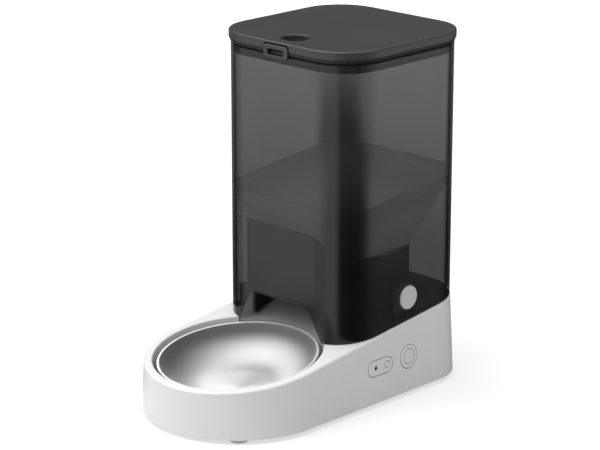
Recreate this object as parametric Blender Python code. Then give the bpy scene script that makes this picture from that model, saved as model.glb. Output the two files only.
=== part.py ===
"""Automatic dry-food feeder for a cat or a small dog, in metres, +Z up.

The bowl is at the front (-Y) and the control buttons are on the right (+X). The origin is on the floor,
under the middle of the footprint. A white base carries a steel bowl and a motor. A smoky tank stands on
the base's sloping deck; a wheel in its floor is turned by the base and drops a portion down a chute into
the bowl.
"""

import math

import bmesh
import bpy
from mathutils import Matrix, Vector

# Base: a half circle in front, a rounded square behind, walls that lean in as they rise, and a sloping deck.
BASE_LENGTH = 0.290
BASE_WIDTH = 0.165
REAR_CORNER_RADIUS = 0.0435
FOOT_HEIGHT = 0.004
DECK_FRONT_HEIGHT = 0.0425
DECK_REAR_HEIGHT = 0.0763
SIDE_DRAFT = math.radians(2.75)
BASE_WALL = 0.0025
DECK_EDGE_ROUND = 0.002
BOTTOM_PLATE = 0.003

# Clearances and cutter lengths.
SEAT_GAP = 0.0003
RUN_GAP = 0.0005
OVERRUN = 0.004

# Well and bowl. Both lean with the deck.
WELL_CENTRE_Y = -0.066
WELL_RADIUS = 0.0725
WELL_LEAN = math.radians(5)
WELL_FILLET = 0.016
BOWL_CENTRE_Y = -0.0643
BOWL_RADIUS = 0.0675
BOWL_DEPTH = 0.030
BOWL_SHEET = 0.001
BOWL_LEAN = math.radians(22)
BOWL_FILLET = 0.024
BOWL_RIM_WIDTH = 0.0024
BOWL_BEAD_RADIUS = 0.001
BOWL_RIM_DROP = 0.0033
BOWL_LIFT = 0.060

# Feet: turned pads with a stem that plugs into the floor plate.
FOOT_TOP_RADIUS = 0.0093
FOOT_BOTTOM_RADIUS = 0.0072
FOOT_STEM_RADIUS = 0.0035
FOOT_STEM_LENGTH = 0.0018
FRONT_FOOT_X = 0.0509
FRONT_FOOT_INSET = 0.0316
REAR_FOOT_X = 0.052
REAR_FOOT_INSET = 0.033

# Tank: a rounded square of constant section that stands on the deck.
TANK_CENTRE_Y = 0.0624
TANK_HALF = 0.0782
TANK_CORNER = 0.0382
TANK_WALL = 0.002
TANK_TOP = 0.2983
TANK_FOOT_GAP = 0.0005
TANK_LIFT = 0.080
SEAT_INSET = 0.006
SEAT_DEPTH = 0.005

# Arched outlet in the tank's front wall.
ARCH_BASE_HALF = 0.0541
ARCH_BASE_HEIGHT = 0.050
ARCH_TOP_HALF = 0.0345
ARCH_TOP_HEIGHT = 0.0862
ARCH_CORNER = 0.0085
ARCH_CUT_DEPTH = 0.012

# Chute: a conical ramp round the bowl, between two bent side walls.
LIP_DROP = 0.0027
RAMP_SLOPE = 0.33
RAMP_REACH = 0.062
RAMP_SHEET = 0.002
CHUTE_MOUTH_HALF = 0.0515
CHUTE_MOUTH_Y = -0.0130
CHUTE_BEND_HALF = 0.0470
CHUTE_BEND_Y = -0.0005
CHUTE_BACK_HALF = 0.0420
CHUTE_BACK_Y = 0.046
CHUTE_WALL = 0.002

# Portion cup and the wheel that turns in it.
CUP_RADIUS = 0.057
CUP_WALL = 0.002
CUP_FLOOR_RISE = 0.008
CUP_FLOOR_SHEET = 0.0025
CUP_DEPTH = 0.034
OUTLET_INNER_RADIUS = 0.016
OUTLET_OUTER_RADIUS = 0.054
OUTLET_HALF_ANGLE = math.radians(38)
HUB_HOLE_RADIUS = 0.0115
TRAY_SHEET = 0.002
SPIGOT_WALL = 0.002
SPIGOT_DEPTH = 0.0046
TOWER_HOLE_RADIUS = 0.0165
WHEEL_RADIUS = 0.0562
WHEEL_HEIGHT = 0.0290
WHEEL_VANES = 6
VANE_SHEET = 0.0026
HUB_RADIUS = 0.0100
HUB_DROP = 0.0047
STIRRER_RADIUS = 0.0080
STIRRER_HEIGHT = 0.0200
STIRRER_REACH = 0.034
STIRRER_ARM = 0.0040

# Housing over the chute, behind the tank's front wall.
THROAT_HALF = 0.040
THROAT_FRONT_Y = -0.0133
THROAT_BACK_Y = 0.021
THROAT_FRONT_RISE = 0.062
THROAT_BACK_RISE = 0.029
THROAT_WALL = 0.002

# Funnel above the portion cup. Its rim follows the tank's wall and slopes with the food.
FUNNEL_RISE = 0.0577
FUNNEL_RIM_SLOPE = 0.097
FUNNEL_BAND = 0.008
FUNNEL_WALL = 0.002
BAFFLE_HALF_ANGLE = math.radians(44)
BAFFLE_INNER_RADIUS = 0.014
BAFFLE_SHEET = 0.0022

# Drive under the deck: a gear on the spindle, turned by the motor's pinion.
GEAR_MODULE = 0.0015
GEAR_TEETH = 36
PINION_TEETH = 12
PRESSURE_ANGLE = math.radians(25)
BACKLASH = 0.0002
CENTRE_SLACK = 0.0001
GEAR_HEIGHT = 0.0445
GEAR_FACE = 0.006
GEAR_HUB_RADIUS = 0.008
GEAR_HUB_DROP = 0.0018
GEAR_WEB = 0.003
GEAR_RIM_WIDTH = 0.0035
PINION_OVERHANG = 0.0006
PINION_STUB_RADIUS = 0.002
MOTOR_DIRECTION = math.radians(225)
MOTOR_RADIUS = 0.012
MOTOR_LENGTH = 0.0295
MOTOR_NOSE_RADIUS = 0.0045
MOTOR_NOSE_LENGTH = 0.0022
SPINDLE_RADIUS = 0.004
SPINDLE_FOOT_HEIGHT = 0.0345
DOG_ACROSS_FLATS = 0.012
DOG_RISE = 0.0022
DOG_LENGTH = 0.013
SOCKET_CLEARANCE = 0.0003
SOCKET_HEAD_ROOM = 0.001
TOWER_FOOT_RADIUS = 0.015
TOWER_TOP_RADIUS = 0.0125
TOWER_TOP_HEIGHT = 0.080
TOWER_BOSS_HEIGHT = 0.053
BUSH_RADIUS = 0.007
BUSH_LENGTH = 0.012
BUSH_FLANGE_RADIUS = 0.0095
BUSH_FLANGE = 0.0015
BRACKET_HEIGHT = 0.0395
BRACKET_SHEET = 0.0025
BRACKET_BOSS_RADIUS = 0.0075
BRACKET_BOSS_DROP = 0.0035
BRACKET_FRONT_Y = 0.0220
BRACKET_REAR_Y = 0.0980
BRACKET_LEFT_X = -0.0425
BRACKET_RIGHT_X = 0.0350
BRACKET_CORNER = 0.0045
PILLAR_RADIUS = 0.0035

# Posts that tie the floor plate to the deck.
POST_RADIUS = 0.004
FRONT_POST_X = 0.060
FRONT_POST_Y = 0.020
REAR_POST_X = 0.054
REAR_POST_INSET = 0.0166

# Battery bay in the floor plate, with a sliding cover.
BAY_HALF = 0.031
BAY_FRONT_Y = 0.0732
BAY_REAR_INSET = 0.0158
BAY_HEIGHT = 0.0185
BAY_WALL = 0.0018
COVER_SHEET = 0.0019
COVER_LIP = 0.003
COVER_LIP_SHEET = 0.0008
COVER_OVERLAP = 0.0025
COVER_TRAVEL = 0.010
RAIL_ROOF = 0.0025
GRIP_RIB = 0.0012
CONTACT_SHEET = 0.0005
CONTACT_HEIGHT = 0.011
CONTACT_STANDOFF = 0.0016
CONTACT_DIMPLES = 4
CONTACT_DIMPLE_RADIUS = 0.0035

# Boards.
BOARD_SHEET = 0.0016
BOARD_BOSS_RADIUS = 0.003
BOARD_BOSS_HEIGHT = 0.0045
MAIN_BOARD_LEFT_X = 0.006
MAIN_BOARD_RIGHT_X = 0.054
MAIN_BOARD_FRONT_Y = 0.013
MAIN_BOARD_REAR_Y = 0.070
BOARD_BOSS_MARGIN = 0.005
CAPACITOR_RADIUS = 0.005
CAPACITOR_HEIGHT = 0.011
CHIP_SIDE = 0.012
CHIP_HEIGHT = 0.0018
SOCKET_BLOCK_LENGTH = 0.014
SOCKET_BLOCK_HEIGHT = 0.006

# Side controls, set in the leaning right wall at one height.
CONTROL_HEIGHT = 0.0350
FEED_BUTTON_Y = 0.061
FEED_BUTTON_RADIUS = 0.01015
FEED_BUTTON_TRAVEL = 0.0012
FEED_BUTTON_PROUD = 0.0003
FEED_GROOVE_RADIUS = 0.0072
FEED_GROOVE_WIDTH = 0.0005
FEED_GROOVE_DEPTH = 0.0004
BUTTON_FLANGE = 0.0013
BUTTON_FLANGE_REACH = 0.0014
BUTTON_STEM_RADIUS = 0.0022
BUTTON_ROUND = 0.0006
PANEL_Y = 0.0252
PANEL_LENGTH = 0.030
PANEL_WIDTH = 0.0135
PANEL_SHEET = 0.0022
PANEL_FLANGE_REACH = 0.0015
LENS_Y = 0.0197
LENS_RADIUS = 0.0015
SETUP_BUTTON_Y = 0.0338
SETUP_BUTTON_RADIUS = 0.0028
SETUP_BUTTON_TRAVEL = 0.0006
CONTROL_BOARD_DEPTH = 0.0112
CONTROL_BOARD_FRONT_Y = -0.0005
CONTROL_BOARD_REAR_Y = 0.0815
CONTROL_BOARD_HALF_HEIGHT = 0.011
SWITCH_SIDE = 0.006
SWITCH_HEIGHT = 0.0035

# Power inlet in the rear wall.
INLET_HEIGHT = 0.033
INLET_HALF = 0.006
INLET_DEPTH = 0.012
INLET_NOSE_RADIUS = 0.0046
INLET_BORE_RADIUS = 0.0029
INLET_BORE_DEPTH = 0.009
INLET_PIN_RADIUS = 0.0009

# Release buttons on both sides of the tank.
RELEASE_HEIGHT = 0.0874
RELEASE_RADIUS = 0.0103
RELEASE_PROUD = 0.0011
RELEASE_FLANGE_REACH = 0.002
RELEASE_FLANGE = 0.002
RELEASE_TRAVEL = 0.003
RELEASE_ARM_SHEET = 0.0025
RELEASE_ARM_HALF = 0.007
RELEASE_ARM_INSET = 0.0035
HOOK_DROP = 0.0315
HOOK_NOSE = 0.0013
HOOK_NOSE_HEIGHT = 0.003
HOOK_SLOT_GAP = 0.0004

# Lid, its liner and seal.
LID_OVERHANG = 0.0018
LID_TOP = 0.310
LID_SKIRT = 0.007
LID_SHEET = 0.0025
LID_EDGE_ROUND = 0.0014
LINER_INSET = 0.001
LINER_BOTTOM = 0.3003
LINER_SHEET = 0.0024
PLUG_GAP = 0.0008
PLUG_WALL = 0.002
PLUG_BOTTOM = 0.291
SEAL_BOTTOM = 0.293
SEAL_HEIGHT = 0.004
SEAL_GROOVE = 0.001
SEAL_WALL_GAP = 0.00035

# Lid hinge at the rear.
HINGE_Y = 0.1396
HINGE_RISE = 0.0002
KNUCKLE_RADIUS = 0.0026
HINGE_PIN_RADIUS = 0.0012
LUG_INNER_X = 0.022
LUG_WIDTH = 0.008
KNUCKLE_WIDTH = 0.0076
LUG_PEDESTAL = 0.002
LID_OPENING = 100.0

# Press button, latch loop and pin at the lid's front.
LID_BUTTON_Y = 0.0055
DISH_RADIUS = 0.013
DISH_FLOOR_RADIUS = 0.0092
DISH_DEPTH = 0.0058
COLLAR_WALL = 0.0012
LID_BUTTON_RADIUS = 0.0088
LID_BUTTON_SINK = 0.0002
LID_BUTTON_SHEET = 0.0023
LID_BUTTON_FLANGE_RADIUS = 0.0102
LID_BUTTON_TRAVEL = 0.0025
LID_BUTTON_TIP_HALF = 0.001
LID_BUTTON_TIP_WIDTH = 0.002
BUTTON_WELL_RADIUS = 0.0112
BUTTON_WELL_WALL = 0.0015
BUTTON_WELL_FLOOR = 0.2905
BUTTON_WELL_SHEET = 0.0015
LATCH_PIN_Y = -0.0124
LATCH_PIN_HEIGHT = 0.3048
LATCH_PIN_RADIUS = 0.0009
LATCH_BARREL_RADIUS = 0.0020
LATCH_FRONT_Y = -0.0189
LATCH_SHEET = 0.0024
LATCH_HALF = 0.0138
LATCH_TOP = 0.3072
LATCH_BOTTOM = 0.2962
LATCH_CORNER = 0.003
WINDOW_HALF = 0.0093
WINDOW_TOP = 0.3038
WINDOW_BOTTOM = 0.2988
WINDOW_CORNER = 0.0008
LATCH_WEB_HALF = 0.009
LATCH_WEB_HEIGHT = 0.3039
LATCH_WEB_SHEET = 0.0018
LATCH_STEP_FRONT_Y = -0.0084
LATCH_STEP_SHEET = 0.0016
LATCH_TAIL_HALF = 0.0042
LATCH_TAIL_TOP = 0.2996
LATCH_TAIL_REAR_Y = 0.009
LATCH_SWING = 8.0
EAR_RADIUS = 0.0021
EAR_INNER_X = 0.0094
EAR_WIDTH = 0.0022
NOTCH_HALF = 0.0146
NOTCH_TOP = 0.3084
NOTCH_CORNER = 0.0028
TONGUE_HALF = 0.0086
TONGUE_FRONT_Y = -0.0162
TONGUE_TOP = 0.3018
TONGUE_ROOT = 0.290
LATCH_SPRING_RADIUS = 0.0030
LATCH_SPRING_WIRE = 0.0006
LATCH_SPRING_TURNS = 2

# Desiccant box that twists into a collar under the lid.
DESICCANT_Y = 0.072
DESICCANT_RADIUS = 0.0288
DESICCANT_WALL = 0.0015
DESICCANT_BOTTOM = 0.283
DESICCANT_TOP = 0.2996
LUG_BOTTOM = 0.2940
LUG_HEIGHT = 0.0016
LUG_REACH = 0.0018
LUG_HALF_ANGLE = math.radians(10)
TAB_HALF_ANGLE = math.radians(12)
TAB_BOTTOM = 0.2920
TAB_HEIGHT = 0.0016
DESICCANT_COLLAR_RADIUS = 0.031
DESICCANT_COLLAR_WALL = 0.002
TWIST_LUGS = 3
DESICCANT_TWIST = 45.0
CAP_SHEET = 0.0017
CAP_SLOTS = 5
CAP_SLOT_WIDTH = 0.0024
CAP_SLOT_PITCH = 0.0080

# How finely round shapes are divided.
NOSE_STEPS = 24
CORNER_STEPS = 6
ROUND_STEPS = 24
BOWL_STEPS = 36
HIDDEN_STEPS = 24
CUP_STEPS = 32
RAMP_STEPS = 64
RELEASE_STEPS = 20
FOOT_STEPS = 16
SMALL_STEPS = 10
SLOT_STEPS = 6
FILLET_STEPS = 3
CUP_FILLET_STEPS = 4
HIDDEN_FILLET_STEPS = 2
FLANK_STEPS = 2
DIMPLE_STEPS = 8
LUG_STEPS = 4
COIL_STEPS = 6
WIRE_STEPS = 4
SHARP_ANGLE = math.radians(32)
LEAN_PASSES = 5

# Pieces with long chains of cuts, which Blender's exact solver leaves open.
CROWDED_PIECES = ("base_shell", "lid_liner")

# Values that follow from the sizes above.
DECK_SLOPE = (DECK_REAR_HEIGHT - DECK_FRONT_HEIGHT) / BASE_LENGTH
DECK_TILT = math.atan(DECK_SLOPE)
WELL_DEPTH = BOWL_RIM_DROP + BOWL_DEPTH + SEAT_GAP
FLOOR_TOP = FOOT_HEIGHT + BOTTOM_PLATE
GEAR_RADIUS = GEAR_MODULE * GEAR_TEETH / 2
PINION_RADIUS = GEAR_MODULE * PINION_TEETH / 2
GEAR_DISTANCE = GEAR_RADIUS + PINION_RADIUS + CENTRE_SLACK
MOTOR_X = GEAR_DISTANCE * math.cos(MOTOR_DIRECTION)
MOTOR_Y = TANK_CENTRE_Y + GEAR_DISTANCE * math.sin(MOTOR_DIRECTION)
LID_HALF = TANK_HALF + LID_OVERHANG
LID_CORNER = TANK_CORNER + LID_OVERHANG
LINER_TOP = LINER_BOTTOM + LINER_SHEET
LID_BOTTOM = LID_TOP - LID_SKIRT
TANK_FRONT_Y = TANK_CENTRE_Y - TANK_HALF
BAY_REAR_Y = BASE_LENGTH / 2 - BAY_REAR_INSET
FRONT_FOOT_Y = FRONT_FOOT_INSET - BASE_LENGTH / 2
REAR_FOOT_Y = BASE_LENGTH / 2 - REAR_FOOT_INSET
REAR_POST_Y = TANK_CENTRE_Y + TANK_HALF - SEAT_INSET - REAR_POST_INSET
DOG_HEIGHT = TOWER_TOP_HEIGHT + DOG_RISE
CUP_FLOOR_HEIGHT = TOWER_TOP_HEIGHT + CUP_FLOOR_RISE
CUP_TOP_HEIGHT = CUP_FLOOR_HEIGHT + CUP_DEPTH
THROAT_FRONT_HEIGHT = CUP_FLOOR_HEIGHT + THROAT_FRONT_RISE
THROAT_BACK_HEIGHT = CUP_FLOOR_HEIGHT + THROAT_BACK_RISE
FUNNEL_RIM_HEIGHT = CUP_TOP_HEIGHT + FUNNEL_RISE
HINGE_HEIGHT = LINER_BOTTOM + HINGE_RISE
DISH_FLOOR_HEIGHT = LID_TOP - DISH_DEPTH
LID_BUTTON_TOP = DISH_FLOOR_HEIGHT - LID_BUTTON_SINK


def deck_height(y):
    """Height of the deck's plane above the floor."""
    return DECK_FRONT_HEIGHT + DECK_SLOPE * (y + BASE_LENGTH / 2)


def flat(height):
    """A level surface, as a function of x and y."""
    return lambda x, y: height


def deck(offset=0.0):
    """A surface parallel to the deck."""
    return lambda x, y: deck_height(y) + offset


def deck_frame(y, offset=0.0):
    """A frame on the deck's centre line whose Z stands square to the deck."""
    place = Matrix.Translation((0, y, deck_height(y))) @ Matrix.Rotation(DECK_TILT, 4, "X")
    return place @ Matrix.Translation((0, 0, offset))


def side_frame(y, height):
    """A frame on the base's right wall: X runs to the rear, Y up the wall and Z out of it."""
    x = BASE_WIDTH / 2 - math.tan(SIDE_DRAFT) * (height - FOOT_HEIGHT)
    lean, rise = math.cos(SIDE_DRAFT), math.sin(SIDE_DRAFT)
    return Matrix(((0, -rise, lean, x), (1, 0, 0, y), (0, lean, rise, height), (0, 0, 0, 1)))


def facing_right(x, y, z):
    """A frame whose Z points to +X and whose Y points up."""
    return Matrix(((0, 0, 1, x), (1, 0, 0, y), (0, 1, 0, z), (0, 0, 0, 1)))


def facing_back(x, y, z):
    """A frame whose Z points to +Y, whose X points to -X and whose Y points up."""
    return Matrix(((-1, 0, 0, x), (0, 0, 1, y), (0, 1, 0, z), (0, 0, 0, 1)))


def arc(centre, radius, start, end, steps):
    """Points on an arc, both ends included; angles in degrees."""
    points = []
    for step in range(steps + 1):
        angle = math.radians(start + (end - start) * step / steps)
        points.append((centre[0] + radius * math.cos(angle), centre[1] + radius * math.sin(angle)))
    return points


def circle(x, y, radius, steps=ROUND_STEPS):
    return arc((x, y), radius, 0, 360 * (steps - 1) / steps, steps - 1)


def rectangle(left, front, right, rear):
    return [(left, front), (right, front), (right, rear), (left, rear)]


def rounded(corners, steps=FILLET_STEPS):
    """A counter-clockwise outline from corners (x, y, fillet radius)."""
    outline = []
    for index, (x, y, radius) in enumerate(corners):
        here = Vector((x, y))
        before = (Vector(corners[index - 1][:2]) - here).normalized()
        after = (Vector(corners[(index + 1) % len(corners)][:2]) - here).normalized()
        if not radius:
            outline.append((x, y))
            continue
        half = before.angle(after) / 2
        centre = here + (before + after).normalized() * radius / math.sin(half)
        start = here + before * radius / math.tan(half) - centre
        sweep = math.pi - 2 * half
        for step in range(steps + 1):
            turn = Matrix.Rotation(sweep * step / steps, 2)
            outline.append(tuple(centre + turn @ start))
    return outline


def slot_outline(length, width, steps=SLOT_STEPS):
    """A stadium centred on the origin, long in X."""
    reach = (length - width) / 2
    ends = arc((reach, 0), width / 2, -90, 90, steps)
    return ends + arc((-reach, 0), width / 2, 90, 270, steps)


def tombstone(radius, drop):
    """A half circle about the origin, on legs that reach down by drop."""
    return [*arc((0, 0), radius, 0, 180, SMALL_STEPS), (-radius, -drop), (radius, -drop)]


def sector(radius, inner, half_angle, facing, centre_y, steps=12):
    """A ring sector about (0, centre_y), centred on the direction facing (degrees)."""
    spread = math.degrees(half_angle)
    outer = arc((0, centre_y), radius, facing - spread, facing + spread, steps)
    return outer + arc((0, centre_y), inner, facing + spread, facing - spread, steps)


def base_outline(inset):
    """The base's plan at floor level: the nose's half circle, then the two rear corners."""
    nose_y = (BASE_WIDTH - BASE_LENGTH) / 2
    corner_x = BASE_WIDTH / 2 - REAR_CORNER_RADIUS
    corner_y = BASE_LENGTH / 2 - REAR_CORNER_RADIUS
    points = arc((0, nose_y), BASE_WIDTH / 2 - inset, 180, 360, NOSE_STEPS)
    points += arc((corner_x, corner_y), REAR_CORNER_RADIUS - inset, 0, 90, CORNER_STEPS)
    return points + arc((-corner_x, corner_y), REAR_CORNER_RADIUS - inset, 90, 180, CORNER_STEPS)


def base_ring(inset, surface):
    """The base's outline on a surface, leaning in with its height."""
    ring = []
    step = base_outline(inset + BASE_WALL)
    for (x, y), (inner_x, inner_y) in zip(base_outline(inset), step):
        inward = Vector((inner_x - x, inner_y - y)) / BASE_WALL
        place = Vector((x, y))
        for _ in range(LEAN_PASSES):
            lean = math.tan(SIDE_DRAFT) * (surface(place.x, place.y) - FOOT_HEIGHT)
            place = Vector((x, y)) + inward * lean
        ring.append((place.x, place.y, surface(place.x, place.y)))
    return ring


def tank_outline(inset, half=TANK_HALF, corner=TANK_CORNER):
    """The tank's rounded square, or the lid's, drawn in by inset."""
    reach = half - corner
    places = ((reach, -reach, -90), (reach, reach, 0), (-reach, reach, 90), (-reach, -reach, 180))
    points = []
    for x, y, start in places:
        points += arc((x, TANK_CENTRE_Y + y), corner - inset, start, start + 90, CORNER_STEPS)
    return points


def raised(outline, surface):
    return [(x, y, surface(x, y)) for x, y in outline]


def loft(rings, closed=False):
    """A skin through rings of equal length, capped at both ends or joined round into a tube wall."""
    shape = bmesh.new()
    loops = [[shape.verts.new(point) for point in ring] for ring in rings]
    pairs = list(zip(loops, loops[1:]))
    if closed:
        pairs.append((loops[-1], loops[0]))
    else:
        shape.faces.new(loops[0])
        shape.faces.new(loops[-1])
    for lower, upper in pairs:
        for index in range(len(lower)):
            after = (index + 1) % len(lower)
            shape.faces.new((lower[index], lower[after], upper[after], upper[index]))
    bmesh.ops.recalc_face_normals(shape, faces=shape.faces)
    return shape


def column(outline, bottom, top):
    """A vertical prism between two surfaces."""
    return loft([raised(outline, bottom), raised(outline, top)])


def block(left, front, low, right, rear, high):
    return column(rectangle(left, front, right, rear), flat(low), flat(high))


def tube(outer, inner, bottom, top):
    """A vertical wall between two outlines and two surfaces."""
    rings = [raised(outer, bottom), raised(outer, top), raised(inner, top), raised(inner, bottom)]
    return loft(rings, closed=True)


def turned(profile, steps=ROUND_STEPS):
    """A solid of revolution about Z from a closed profile of (radius, height)."""
    shape = bmesh.new()
    verts = [shape.verts.new((radius, 0, height)) for radius, height in profile]
    edges = [shape.edges.new((vert, verts[(index + 1) % len(verts)])) for index, vert in enumerate(verts)]
    bmesh.ops.spin(
        shape, geom=verts + edges, axis=(0, 0, 1), angle=2 * math.pi, steps=steps, use_merge=True
    )
    bmesh.ops.remove_doubles(shape, verts=shape.verts, dist=SEAT_GAP / 1000)
    bmesh.ops.dissolve_degenerate(shape, edges=shape.edges, dist=SEAT_GAP / 1000)
    bmesh.ops.recalc_face_normals(shape, faces=shape.faces)
    return shape


def disc(radius, low, high, steps=ROUND_STEPS):
    """A plain cylinder about Z."""
    return column(circle(0, 0, radius, steps), flat(low), flat(high))


def ring(outer, inner, low, high, steps=ROUND_STEPS):
    """A plain ring about Z."""
    return tube(circle(0, 0, outer, steps), circle(0, 0, inner, steps), flat(low), flat(high))


def at(shape, place):
    """The shape, moved to a frame."""
    bmesh.ops.transform(shape, matrix=place, verts=shape.verts)
    if place.determinant() < 0:
        bmesh.ops.reverse_faces(shape, faces=shape.faces)
    return shape


def moved(shape, x, y, z=0.0):
    return at(shape, Matrix.Translation((x, y, z)))


def half_turned(shape):
    """The shape, turned half round about the tank's middle, for the pieces on the left side."""
    centre = Matrix.Translation((0, TANK_CENTRE_Y, 0))
    return at(shape, centre @ Matrix.Rotation(math.pi, 4, "Z") @ centre.inverted())


def top_edges(shape, surface):
    """The edges whose two ends lie on a surface."""
    on_top = {vert for vert in shape.verts if abs(vert.co.z - surface(vert.co.x, vert.co.y)) < SEAT_GAP / 10}
    return [edge for edge in shape.edges if on_top.issuperset(edge.verts)]


def soften(shape, edges, width, segments=3):
    """Rounds some edges of a shape."""
    bmesh.ops.bevel(
        shape, geom=edges, offset=width, offset_type="OFFSET", segments=segments, profile=0.5, affect="EDGES"
    )
    return shape


def material(name, colour, roughness, metallic=0.0, alpha=1.0):
    finish = bpy.data.materials.new(name)
    finish.use_nodes = True
    finish.diffuse_color = (*colour, alpha)
    shader = finish.node_tree.nodes["Principled BSDF"]
    shader.inputs["Base Color"].default_value = (*colour, 1)
    shader.inputs["Roughness"].default_value = roughness
    shader.inputs["Metallic"].default_value = metallic
    shader.inputs["Alpha"].default_value = alpha
    return finish


def piece(name, shape, finish, axis=None):
    """One sub-part. A moving one hangs from the empty that stands on its joint's axis."""
    mesh = bpy.data.meshes.new(name)
    shape.to_mesh(mesh)
    shape.free()
    mesh.materials.append(finish)
    mesh.shade_smooth()
    mesh.set_sharp_from_angle(angle=SHARP_ANGLE)
    made = bpy.data.objects.new(name, mesh)
    bpy.context.scene.collection.objects.link(made)
    if axis:
        made.parent = axis
        made.matrix_parent_inverse = axis.matrix_world.inverted()
    return made


def joint_axis(name, place, travel=0.0, parent=None):
    """An empty whose Z is a joint's axis. Travel is in metres or degrees; without it, it turns freely."""
    made = bpy.data.objects.new(name, None)
    made["travel"] = travel
    made.empty_display_size = POST_RADIUS
    made.empty_display_type = "SINGLE_ARROW"
    made.matrix_world = place
    bpy.context.scene.collection.objects.link(made)
    bpy.context.view_layer.update()
    if parent:
        made.parent = parent
        made.matrix_parent_inverse = parent.matrix_world.inverted()
    return made


def combine(target, shape, operation):
    """Joins a shape to a piece, cuts it away, or keeps what they share."""
    mesh = bpy.data.meshes.new(f"{target.name}_tool")
    shape.to_mesh(mesh)
    shape.free()
    tool = bpy.data.objects.new(mesh.name, mesh)
    tool.hide_render = True
    tool.display_type = "WIRE"
    bpy.data.collections["tools"].objects.link(tool)
    modifier = target.modifiers.new(f"{operation.lower()} {len(target.modifiers)}", "BOOLEAN")
    modifier.operation = operation
    modifier.object = tool
    modifier.solver = "MANIFOLD" if target.name in CROWDED_PIECES else "EXACT"


def join(target, *shapes):
    for shape in shapes:
        combine(target, shape, "UNION")


def cut(target, *shapes):
    for shape in shapes:
        combine(target, shape, "DIFFERENCE")


def keep(target, *shapes):
    for shape in shapes:
        combine(target, shape, "INTERSECT")


def cup_curve(rim, depth, lean, fillet, steps=CUP_FILLET_STEPS):
    """Half the section of a cup with leaning walls: from its rim down and in to the axis."""
    straight = depth - fillet
    centre = (rim - math.tan(lean) * straight - fillet / math.cos(lean), -straight)
    curve = arc(centre, fillet, -math.degrees(lean), -90, steps)
    return [(rim, 0.0), *curve, (0.0, -depth)]


def cup_inside(rim, depth, lean, fillet, rise):
    """The space inside a cup, carried up past its rim by rise."""
    return turned([(0.0, rise), (rim, rise), *cup_curve(rim, depth, lean, fillet)], BOWL_STEPS)


def cup_outside(rim, depth, lean, fillet, drop):
    """A cup's filled outer form, up to a drop below the rim. It is hidden under the deck."""
    curve = cup_curve(rim, depth, lean, fillet, HIDDEN_FILLET_STEPS)
    curve[0] = (rim - math.tan(lean) * drop, -drop)
    return turned([(0.0, -drop), *curve], HIDDEN_STEPS)


def involute_outline(teeth, radius_offset, first_tooth):
    """A gear's outline. radius_offset thins the teeth for backlash; first_tooth is where a tooth points."""
    pitch = GEAR_MODULE * teeth / 2
    base = pitch * math.cos(PRESSURE_ANGLE)
    tip = pitch + GEAR_MODULE
    root = pitch - 1.25 * GEAR_MODULE
    flank_start = max(base, root)
    half_tooth = math.pi / (2 * teeth) - radius_offset / (2 * pitch)

    def spread(radius):
        """How far the flank has turned from the base circle at a radius."""
        tangent = math.sqrt(max((radius / base) ** 2 - 1, 0))
        return tangent - math.atan(tangent)

    half_at_base = half_tooth + spread(pitch)
    outline = []
    for tooth in range(teeth):
        middle = first_tooth + 2 * math.pi * tooth / teeth
        radii = [flank_start + (tip - flank_start) * step / FLANK_STEPS for step in range(FLANK_STEPS + 1)]
        sides = [(radius, half_at_base - spread(radius)) for radius in radii]
        if root < flank_start:
            sides.insert(0, (root, half_at_base))
        for radius, half in sides:
            outline.append((radius * math.cos(middle - half), radius * math.sin(middle - half)))
        for radius, half in reversed(sides):
            outline.append((radius * math.cos(middle + half), radius * math.sin(middle + half)))
    return outline


def coil(radius, wire, turns, length):
    """A compression spring about Z: one unbroken wire with a flat closing turn at each end."""
    wire_radius = wire / 2
    total = turns + 2
    count = total * COIL_STEPS
    rings = []
    for index in range(count + 1):
        turn = index / COIL_STEPS
        climbed = min(max(turn - 1, 0.0), turns)
        low = wire_radius + wire * min(turn, 1.0)
        high = wire * max(turn - 1 - turns, 0.0)
        rise = low + climbed * (length - 4 * wire_radius - 2 * wire) / turns + high
        angle = 2 * math.pi * turn
        out = Vector((math.cos(angle), math.sin(angle), 0))
        centre = out * radius + Vector((0, 0, rise))
        loop = []
        for side in range(WIRE_STEPS):
            around = 2 * math.pi * side / WIRE_STEPS
            offset = out * math.cos(around) + Vector((0, 0, math.sin(around)))
            loop.append(tuple(centre + offset * wire_radius))
        rings.append(loop)
    return loft(rings)


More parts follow.
